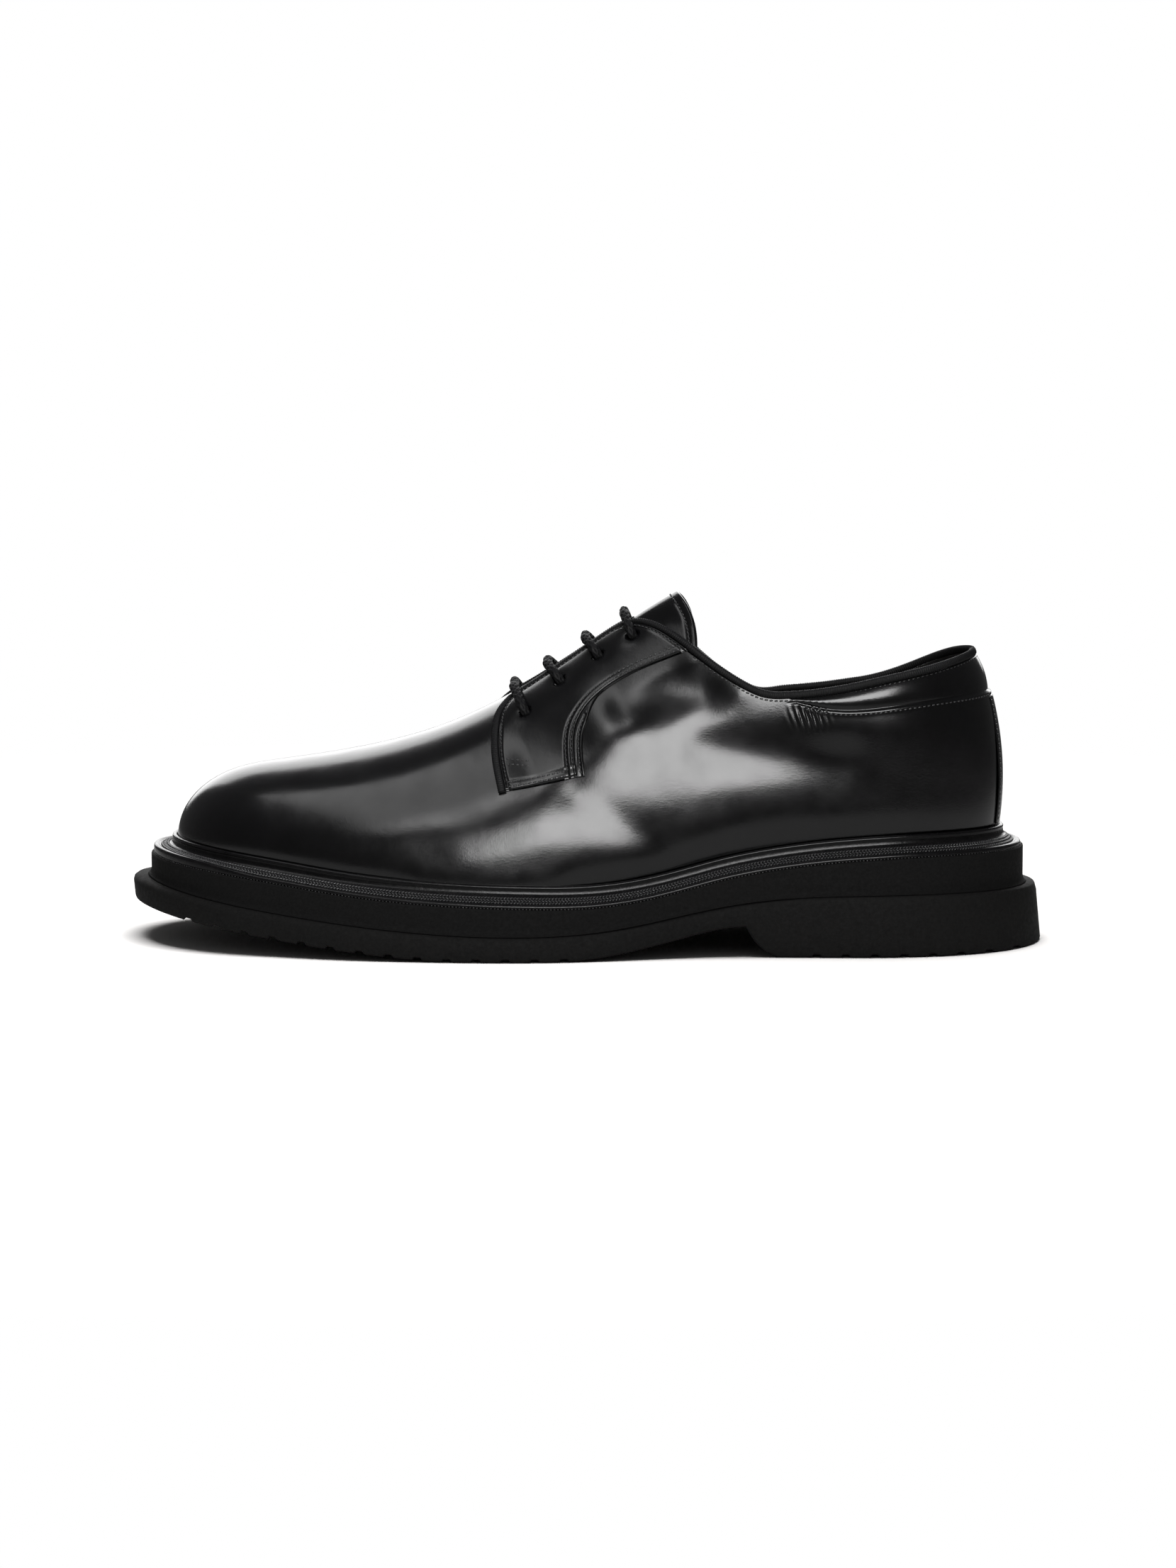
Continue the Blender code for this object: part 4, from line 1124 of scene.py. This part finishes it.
def feather_loop():
    """The upper's bottom edge from above, round the whole shoe."""
    x = np.concatenate((toe_stations(LOOP_COUNT), np.linspace(TOE_START, HEEL_START, LOOP_COUNT + 1)[1:]))
    turns = np.linspace(0.0, math.pi / 2, LOOP_COUNT + 1)[1:]
    halves = []
    for side in SIDES:
        front = np.stack((x, axis(x) + side * half_width(x, feather(x), side)), axis=-1)
        z = np.full(turns.shape, float(feather(HEEL_BACK)))
        for _ in range(6):
            z = feather(at_heel(turns, z, side)[:, 0])
        back = at_heel(turns, z, side)[:, :2]
        halves.append(np.concatenate((front, back)))
    return np.concatenate((halves[0], halves[1][-2:0:-1]))


def loop_normals(loop):
    run = unit(np.roll(loop, -1, axis=0) - np.roll(loop, 1, axis=0))
    out = np.stack((-run[:, 1], run[:, 0]), axis=-1)
    if np.mean(np.sum(out * (loop - loop.mean(axis=0)), axis=1)) < 0:
        out = -out
    return out


loop_points = feather_loop()
loop_out = loop_normals(loop_points)


def outline(distance):
    """The bottom edge moved out by a distance, as a lateral and a medial line from toe to heel."""
    moved = loop_points + loop_out * np.broadcast_to(distance, loop_points.shape[:1])[:, None]
    first, last_point = int(np.argmin(moved[:, 0])), int(np.argmax(moved[:, 0]))
    turned = np.roll(moved, -first, axis=0)
    far = (last_point - first) % len(moved)
    lateral = turned[:far + 1]
    medial = np.concatenate((turned[far:], turned[:1]))[::-1]
    return lateral, medial


def ring(distance, shares, height):
    """The two lines of an outline at shares of its length, at a height worked out from x."""
    lateral, medial = outline(distance)
    x = lateral[0, 0] + (lateral[-1, 0] - lateral[0, 0]) * shares
    near = np.interp(x, lateral[:, 0], lateral[:, 1])
    far = np.interp(x, medial[:, 0], medial[:, 1])
    z = height(x)
    return np.stack((x, near, z), axis=-1), np.stack((x, far, z), axis=-1)


def end_shares(count):
    return (1.0 - np.cos(np.linspace(0.0, math.pi, count))) / 2.0


def cap(net, near, far, count):
    """Closes a ring across with rows from its lateral to its medial side."""
    t = np.linspace(0.0, 1.0, count)[:, None, None]
    net.sheet(near[None] * (1.0 - t) + far[None] * t)


def build_layer(name, material, slot, node, rings, rows_first, rows_last):
    """A layer of the sole through rings, closed across its first and last one."""
    net = Net()
    net.sheet(np.stack([np.concatenate((near, far[-2:0:-1])) for near, far in rings]), wrap_columns=True)
    cap(net, *rings[0], rows_first)
    cap(net, *rings[-1], rows_last)
    dress(net.make(name, material), slot, node)


WELT_STEP = 0.42
WELT_STITCH_STEP = 0.6
WELT_CORNERS = (0.22, 0.78)
WELT_FALL = 1.5
WELT_FALL_FROM = -132.0
WELT_FALL_LENGTH = 26.0
# Columns: out, share of the lean, rise, share of the fall
WELT_PROFILE = (
    (WELT_IN, 0.0, WELT_BOTTOM, 0.0),
    (WELT_OUT - 0.3, 0.0, WELT_BOTTOM, 0.0),
    (WELT_OUT, 0.0, WELT_BOTTOM + 0.3, 0.0),
    (WELT_OUT, 0.0, -2.1, 1.0),
    (WELT_OUT - 0.4, 0.0, -1.5, 1.0),
    (WELT_OUT - 1.3, 0.0, -1.35, 1.0),
    (WELT_OUT - 1.8, 0.0, -1.7, 1.0),
    (5.9, 0.0, -1.9, 0.9),
    (2.6, 0.5, -1.0, 0.1),
    (1.6, 1.0, -0.5, 0.0),
    (1.35, 1.0, 1.1, 0.0),
    (1.6, 1.0, 1.6, 0.0),
    (1.35, 1.0, 2.15, 0.0),
    (0.75, 1.0, 2.4, 0.0),
    (0.06, 1.0, 2.3, 0.0),
    (0.05, 0.0, WELT_TOP, 0.0),
    (WELT_IN, 0.0, WELT_TOP, 0.0),
)
# Columns: place on the welt, the normal's out and up, pitch, length, radius, tilt
WELT_ROWS = (
    ((3.2, 0.4, -1.1, 0.25), (0.45, 0.9), 1.05, 1.6, 0.36, 34.0),
    ((4.2, 0.25, -1.4, 0.48), (0.45, 0.9), 1.12, 1.6, 0.36, -34.0),
    ((5.2, 0.1, -1.65, 0.73), (0.45, 0.9), 1.05, 1.6, 0.36, 34.0),
    ((WELT_OUT + 0.02, 0.0, WELT_BOTTOM + 0.15, 0.0), (1.0, 0.3), 1.15, 0.75, 0.16, 0.0),
)


def cut_corners(profile):
    """One round of corner cutting on a closed profile."""
    ahead = np.roll(profile, -1, axis=0)
    pairs = [(1.0 - share) * profile + share * ahead for share in WELT_CORNERS]
    return np.stack(pairs, axis=1).reshape(-1, profile.shape[1])


def even_loop(step):
    """The bottom edge at even steps, its normals and the upper's lean there."""
    closed = np.concatenate((loop_points, loop_points[:1]))
    length = arc(closed)
    count = int(length[-1] / step)
    loop = along(closed, np.arange(count) * length[-1] / count)
    x = np.clip(loop[:, 0], TOE_TIP + 0.5, HEEL_BACK - 2.5)
    side = np.where(loop[:, 1] < axis(x), LATERAL, MEDIAL)
    lean = reach(x, feather(x) + 2.0, side) - reach(x, feather(x), side)
    return loop, loop_normals(loop), lean


def on_welt(loop, out, lean, distance, lean_share, rise, fall_share):
    """A line on the welt at a distance from the bottom edge."""
    flat = loop + out * (distance + lean * lean_share)[:, None]
    fall = WELT_FALL * fall_share * smooth_step((flat[:, 0] - WELT_FALL_FROM) / WELT_FALL_LENGTH)
    return np.concatenate((flat, (feather(flat[:, 0]) + rise - fall)[:, None]), axis=1)


def build_welt():
    loop = even_loop(WELT_STEP)
    profile = cut_corners(np.asarray(WELT_PROFILE, float))
    net = Net()
    net.sheet(np.stack([on_welt(*loop, *place) for place in profile]), wrap_rows=True, wrap_columns=True)
    dress(net.make("welt_strip", WELT), "welt_strip", "welt")


# Columns: share of the foot's width, rise from the ledge
MIDSOLE_LOW = ((1.0, 0.03), (0.6, 0.43), (0.35, 0.83), (0.12, 1.53), (0.0, 2.43))
# Columns: inset, rise from the midsole's top
MIDSOLE_HIGH = ((0.0, -0.5), (0.12, -0.15), (0.5, 0.0))


def build_midsole():
    shares = end_shares(MIDSOLE_STATIONS)
    rings = [ring(MIDSOLE_OUT + share * MIDSOLE_FOOT, shares, lambda x: ledge_height(x) + rise)
             for share, rise in MIDSOLE_LOW]
    rings += [ring(MIDSOLE_OUT - inset, shares, lambda x: feather(x) + MIDSOLE_TOP + rise)
              for inset, rise in MIDSOLE_HIGH]
    build_layer("midsole_foam", FOAM, "midsole_foam", "midsole", rings, rows_first=9, rows_last=9)


waist_rise = natural_spline(*np.transpose(WAIST_TABLE))
breast_fall = np.transpose(BREAST_TABLE)


def bottom_height(x):
    toe = TOE_SPRING * (np.maximum(FLAT_FRONT - x, 0.0) / TOE_REACH) ** TOE_CURVE
    waist = np.where(x > FLAT_BACK, waist_rise(x), 0.0)
    heel = np.interp(x, breast_fall[0], breast_fall[1])
    return np.where(x > BREAST_TABLE[0][0], heel, np.maximum(toe + np.maximum(waist, 0.0), 0.0))


def groove_depth(x):
    depth = np.zeros(np.shape(x))
    for begin, end in LUG_ZONES:
        count = int((end - begin) / LUG_PITCH)
        phase = np.mod(x - begin, LUG_PITCH) / LUG_PITCH
        inside = (x >= begin) & (x <= begin + count * LUG_PITCH)
        depth = np.where(inside, LUG_DEPTH * np.interp(phase, LUG_PHASES, LUG_SHAPE), depth)
    return depth


def outsole_stations():
    """Places along the outsole, with one at each corner of the tread."""
    first = TOE_TIP - float(outsole_out["bottom"](TOE_TIP))
    final = float(heel_back(feather(HEEL_BACK))) + float(outsole_out["bottom"](HEEL_BACK))
    x = list(first + (final - first) * end_shares(OUTSOLE_STATIONS))
    for begin, end in LUG_ZONES:
        for k in range(int((end - begin) / LUG_PITCH)):
            x += [begin + (k + phase) * LUG_PITCH for phase in LUG_PHASES[:-1]]
    x += [place for place, _ in BREAST_TABLE]
    x = np.unique(np.round(np.asarray(x), 3))
    return x[(x >= first) & (x <= final)]


def build_outsole():
    x = outsole_stations()
    shares = (x - x[0]) / (x[-1] - x[0])
    base_x = loop_points[:, 0]
    ledge_out = outsole_out["ledge"](base_x)
    bottom_out = outsole_out["bottom"](base_x)
    rounding = outsole_out["round"](base_x)
    tread_z = bottom_height(x) + groove_depth(x)

    def side_foot(lift):
        return lambda place: np.minimum(tread_z + lift, ledge_height(place) - 3.4)

    def rounded(depth):
        return lambda place: ledge_height(place) - depth * np.clip(outsole_out["round"](place), 0.35, 1.0)

    profile = (
        (bottom_out - 0.9, lambda place: tread_z),
        (bottom_out - 0.25, side_foot(0.35)),
        (bottom_out, side_foot(1.1)),
        (ledge_out + 0.25 * (bottom_out - ledge_out), lambda place: ledge_height(place) - 2.6),
        (ledge_out - 0.15 * rounding, rounded(1.6)),
        (ledge_out - 0.5 * rounding, rounded(0.75)),
        (ledge_out - rounding, rounded(0.22)),
        (MIDSOLE_OUT - 0.2, ledge_height),
    )
    rings = [ring(out, shares, height) for out, height in profile]
    build_layer("outsole_tread", RUBBER, "outsole_rubber", "outsole", rings, rows_first=25, rows_last=9)


# Columns: inset, height over the feather line
INSOLE_PROFILE = (
    (0.0, INSOLE_BOTTOM),
    (0.0, INSOLE_TOP - 0.6),
    (0.25, INSOLE_TOP - 0.2),
    (0.7, INSOLE_TOP),
)


def build_insole():
    shares = end_shares(INSOLE_STATIONS)
    rings = [ring(INSOLE_OUT - inset, shares, lambda x: feather(x) + rise)
             for inset, rise in INSOLE_PROFILE]
    build_layer("insole_sock", SOCK, "insole_board", "insole", rings, rows_first=5, rows_last=31)


# Stitches

STITCH_PITCH = 1.65
STITCH_LENGTH = 1.35
STITCH_RADIUS = 0.30
STITCH_TILT = 9.0
STITCH_RINGS = np.linspace(-1.0, 1.0, 7)
STITCH_AROUND = 6
STITCH_SINK = 0.05
STITCH_BLUNT = 0.06
STITCH_FLAT = 0.85
STITCH_DIP = (0.1, 0.7)
# Grid rows or columns that a row of stitches leaves bare at its start and end
BARE_REAR = (3, 3)
BARE_LOW = (4, 15)
BARE_FRONT = (8, 4)
BARE_TOP = (4, 2)
TACK_HEIGHTS = (63.4, 61.9)
TACK_FROM = -26.6
TACK_TO = -18.2
COLLAR_ROW_DROP = 0.6
COLLAR_ROW_LIFT = 0.05
SEAM_ROW_DROP = 1.2
SEAM_ROW_GUESS = 80.0


def sew(net, path, out, pitch=STITCH_PITCH, length=STITCH_LENGTH, radius=STITCH_RADIUS, tilt=STITCH_TILT):
    """A row of stitches along a path, lying on the surface with the given normals."""
    total = arc(path)
    places = np.arange(pitch / 2, total[-1] - pitch / 4, pitch)
    middle = sampled(path, total, places)
    up = unit(sampled(out, total, places))
    ahead = sampled(np.gradient(path, axis=0), total, places)
    ahead = unit(ahead - up * np.sum(ahead * up, axis=1, keepdims=True))
    left = np.cross(up, ahead)
    turn = math.radians(tilt)
    run = ahead * math.cos(turn) + left * math.sin(turn)
    cross = left * math.cos(turn) - ahead * math.sin(turn)
    around = np.arange(STITCH_AROUND) * 2.0 * math.pi / STITCH_AROUND
    thick = radius * np.sqrt(np.maximum(1.0 - STITCH_RINGS ** 4, STITCH_BLUNT))
    sink = -radius * (STITCH_DIP[0] + STITCH_DIP[1] * STITCH_RINGS ** 4)
    faces = quads_of(len(STITCH_RINGS), STITCH_AROUND, wrap_columns=True)
    first_end = np.arange(STITCH_AROUND)[None]
    ends = (first_end, first_end + (len(STITCH_RINGS) - 1) * STITCH_AROUND)
    for k in range(len(middle)):
        rings = (middle[k] + run[k] * (STITCH_RINGS * length / 2)[:, None, None]
                 + cross[k] * (thick[:, None] * np.cos(around))[..., None]
                 + up[k] * (sink[:, None] + STITCH_FLAT * thick[:, None] * np.sin(around))[..., None])
        start = net.count
        net.add(rings, faces)
        for end in ends:
            net.faces.append(end + start)
            net.slots.append(np.zeros(1))


def facing_rows(net, side):
    """Rows along a facing's edges, on the strip beside it and in the tack at its front."""
    base = facing_base(side)
    top, low, front, rear = grid_distances(base)
    rows, columns = base.shape[:2]

    def put(points):
        points = evenly(np.asarray(points), 0.5)
        sew(net, on_leather(points, side, SKIN_GAP + FACING_THICK - STITCH_SINK), normals(points, side))

    for place in STITCH_ROWS_REAR:
        put([along(base[i], [np.interp(-place, -rear[i], front[i])])[0]
             for i in range(BARE_REAR[0], rows - BARE_REAR[1])])
    for place in STITCH_ROWS_LOW:
        put([along(base[:, j], [np.interp(-place, -low[:, j], top[:, j])])[0]
             for j in range(BARE_LOW[0], columns - BARE_LOW[1])])
    put([along(base[i], [STITCH_ROW_EDGE])[0] for i in range(rows - BARE_FRONT[0], BARE_FRONT[1], -1)]
        + [along(base[:, j], [STITCH_ROW_EDGE])[0] for j in range(BARE_TOP[0], columns - BARE_TOP[1])])
    strip, width = underlay_lines(side, (UNDERLAY_STITCH / UNDERLAY_WIDTH,))
    points = strip[0][width > UNDERLAY_SEWN]
    sew(net, on_leather(points, side, SKIN_GAP + UNDERLAY_THICK - STITCH_SINK), normals(points, side))
    x = np.linspace(TACK_FROM, TACK_TO, 20)
    for z in TACK_HEIGHTS:
        put(at_angle(x, angle_of(x, z), side))


def collar_rows(net, side):
    """Rows under the collar binding and under the heel seam."""
    x = np.linspace(FACING_REAR_X + 1.5, HEEL_START, 200)
    turns = np.linspace(0.0, math.pi / 2, 100)[1:]
    path = np.concatenate((at_side(x, edge_height(x, side) - COLLAR_ROW_DROP * 1.1, side),
                           at_heel(turns, heel_edge_height(turns, side) - COLLAR_ROW_DROP, side)))
    lift = COLLAR_ROW_LIFT - SEAM_STEP * seam_fade(path[:, 0])
    sew(net, on_leather(path, side, lift), normals(path, side))
    x = x[x > SEAM_START + 1.0]
    turns = turns[turns < math.radians(90.0 - BACKSTAY_HALF_ANGLE)]
    turned_x = at_heel(turns, SEAM_ROW_GUESS, side)[:, 0]
    path = np.concatenate((at_side(x, seam_level(x, side) - SEAM_ROW_DROP, side),
                           at_heel(turns, seam_level(turned_x, side) - SEAM_ROW_DROP, side)))
    sew(net, on_leather(path, side, COLLAR_ROW_LIFT), normals(path, side))


def backstay_rows(net):
    base, out = backstay_grid()
    rows = range(2, len(base) - 2)
    for order in (slice(None), slice(None, None, -1)):
        path = np.array([along(base[i][order], [BACKSTAY_STITCH])[0] for i in rows])
        up = np.array([out[i][order][0] for i in rows])
        sew(net, path + up * (SKIN_GAP + BACKSTAY_THICK - STITCH_SINK), up)


def tongue_row(net):
    across = np.linspace(-0.93, 0.93, 160)
    stations = np.array([TONGUE_BACK - TONGUE_STITCH, TONGUE_BACK - TONGUE_STITCH + 0.2])
    path = tongue_surface(stations, across, 0.1)[0]
    deeper = tongue_surface(stations, across, 0.6)[0]
    sew(net, path, unit(path - deeper))


def build_stitches():
    for side in SIDES:
        net = Net()
        facing_rows(net, side)
        dress(net.make("stitches_facing_%s" % SIDE_NAMES[side], THREAD), "upper_leather")
    net = Net()
    for side in SIDES:
        collar_rows(net, side)
    backstay_rows(net)
    tongue_row(net)
    dress(net.make("stitches_collar", THREAD), "upper_leather")
    loop, out, lean = even_loop(WELT_STITCH_STEP)
    net = Net()
    for place, (outward, upward), pitch, length, radius, tilt in WELT_ROWS:
        path = on_welt(loop, out, lean, *place)
        path = np.concatenate((path, path[:1]))
        face = np.concatenate((out * outward, np.full((len(out), 1), upward)), axis=1)
        face = unit(np.concatenate((face, face[:1])))
        whole_length = arc(path)[-1]
        sew(net, path, face, whole_length / round(whole_length / pitch), length, radius, tilt)
    dress(net.make("stitches_welt", THREAD), "welt_strip")


build_upper()
for facing_side in SIDES:
    build_facing(facing_side)
build_underlays()
build_binding()
build_tongue()
build_backstay()
build_laces()
build_welt()
build_midsole()
build_outsole()
build_insole()
build_stitches()


# Stage, light and camera

CAMERA_AT = (0.7, -1600.0, 262.0)
CAMERA_AIM = (0.7, 0.0, 51.6)
CAMERA_LENS = 110.3
FLOOR_RADIUS = 0.7
FLOOR_SOLID = 0.30
FLOOR_GONE = 0.55
FLOOR_SIDES = 96
FLOOR_COLOUR = (0.95, 0.935, 0.925)
FLOOR_MIRRORED = (0.38, 0.38, 0.38)
ROOM_LIGHT = 0.085
ROOM_SEEN = 1.0
# Columns: name, at, aim, size, brightness, what it lights
LIGHT_TABLE = (
    ("key", (0.23, -2.04, 0.97), (0.0, 0.0, 0.05), (1.05, 0.82), 12.0, "gloss"),
    ("strip", (-0.545, -0.65, 1.50), (-0.545, -0.65, 0.0), (0.31, 1.90), 2.2, "gloss"),
    ("card", (-0.43, -1.25, 1.50), (0.0, 0.0, 0.07), (0.14, 0.34), 5.0, "gloss"),
    ("back", (0.03, 1.60, 0.68), (0.0, 0.0, 0.10), (1.95, 1.16), 2.8, "gloss"),
    ("fill", (-0.05, 0.10, 2.20), (0.0, 0.0, 0.0), (1.5, 1.5), 9.8, "floor"),
)


def aim(thing, target):
    thing.rotation_euler = (Vector(target) - thing.location).to_track_quat("-Z", "Y").to_euler()


def make_camera():
    data = bpy.data.cameras.new("camera")
    data.lens = CAMERA_LENS
    data.sensor_width = 36.0
    data.clip_start = 0.05
    data.clip_end = 50.0
    camera = bpy.data.objects.new("camera", data)
    camera.location = Vector(CAMERA_AT) * MM
    aim(camera, Vector(CAMERA_AIM) * MM)
    bpy.context.scene.collection.objects.link(camera)
    bpy.context.scene.camera = camera


def make_floor():
    """White paper that thins out to the white room behind it."""
    shade = Shade("floor_paper", {"Roughness": 0.9, "Specular IOR Level": 0.0})
    mirrored = shade.node("ShaderNodeLightPath", {}).outputs["Is Glossy Ray"]
    shade.colours(mirrored, FLOOR_COLOUR, FLOOR_MIRRORED, 0.0, 1.0)
    far = shade.node("ShaderNodeVectorMath", {0: shade.place}, operation="LENGTH")
    shade.link(shade.between(far.outputs["Value"], 1.0, 0.0, FLOOR_SOLID, FLOOR_GONE), "Alpha")
    turns = np.arange(FLOOR_SIDES) * 2.0 * math.pi / FLOOR_SIDES
    rim = [(FLOOR_RADIUS * math.cos(turn), FLOOR_RADIUS * math.sin(turn), 0.0) for turn in turns]
    mesh = bpy.data.meshes.new("floor")
    mesh.from_pydata(rim, [], [list(range(FLOOR_SIDES))])
    mesh.materials.append(shade.material)
    floor = bpy.data.objects.new("floor", mesh)
    bpy.context.scene.collection.objects.link(floor)


def make_lights():
    """Area lights that show in the gloss or light the floor, and a room that looks white."""
    for name, at, target, size, brightness, lights in LIGHT_TABLE:
        data = bpy.data.lights.new(name, "AREA")
        data.shape = "RECTANGLE"
        data.size, data.size_y = size
        data.energy = brightness * math.pi * size[0] * size[1]
        light = bpy.data.objects.new(name, data)
        light.location = at
        aim(light, target)
        light.visible_camera = False
        light.visible_diffuse = lights == "floor"
        light.visible_glossy = lights == "gloss"
        bpy.context.scene.collection.objects.link(light)
    world = bpy.data.worlds.new("studio")
    bpy.context.scene.world = world
    world.use_nodes = True
    tree = world.node_tree
    tree.nodes.clear()
    path = tree.nodes.new("ShaderNodeLightPath")
    mix = tree.nodes.new("ShaderNodeMixShader")
    end = tree.nodes.new("ShaderNodeOutputWorld")
    tree.links.new(path.outputs["Is Camera Ray"], mix.inputs["Fac"])
    for socket, strength in ((1, ROOM_LIGHT), (2, ROOM_SEEN)):
        room_light = tree.nodes.new("ShaderNodeBackground")
        room_light.inputs["Color"].default_value = (1.0, 1.0, 1.0, 1.0)
        room_light.inputs["Strength"].default_value = strength
        tree.links.new(room_light.outputs["Background"], mix.inputs[socket])
    tree.links.new(mix.outputs["Shader"], end.inputs["Surface"])


make_camera()
make_floor()
make_lights()
bpy.context.scene.view_settings.view_transform = "Standard"
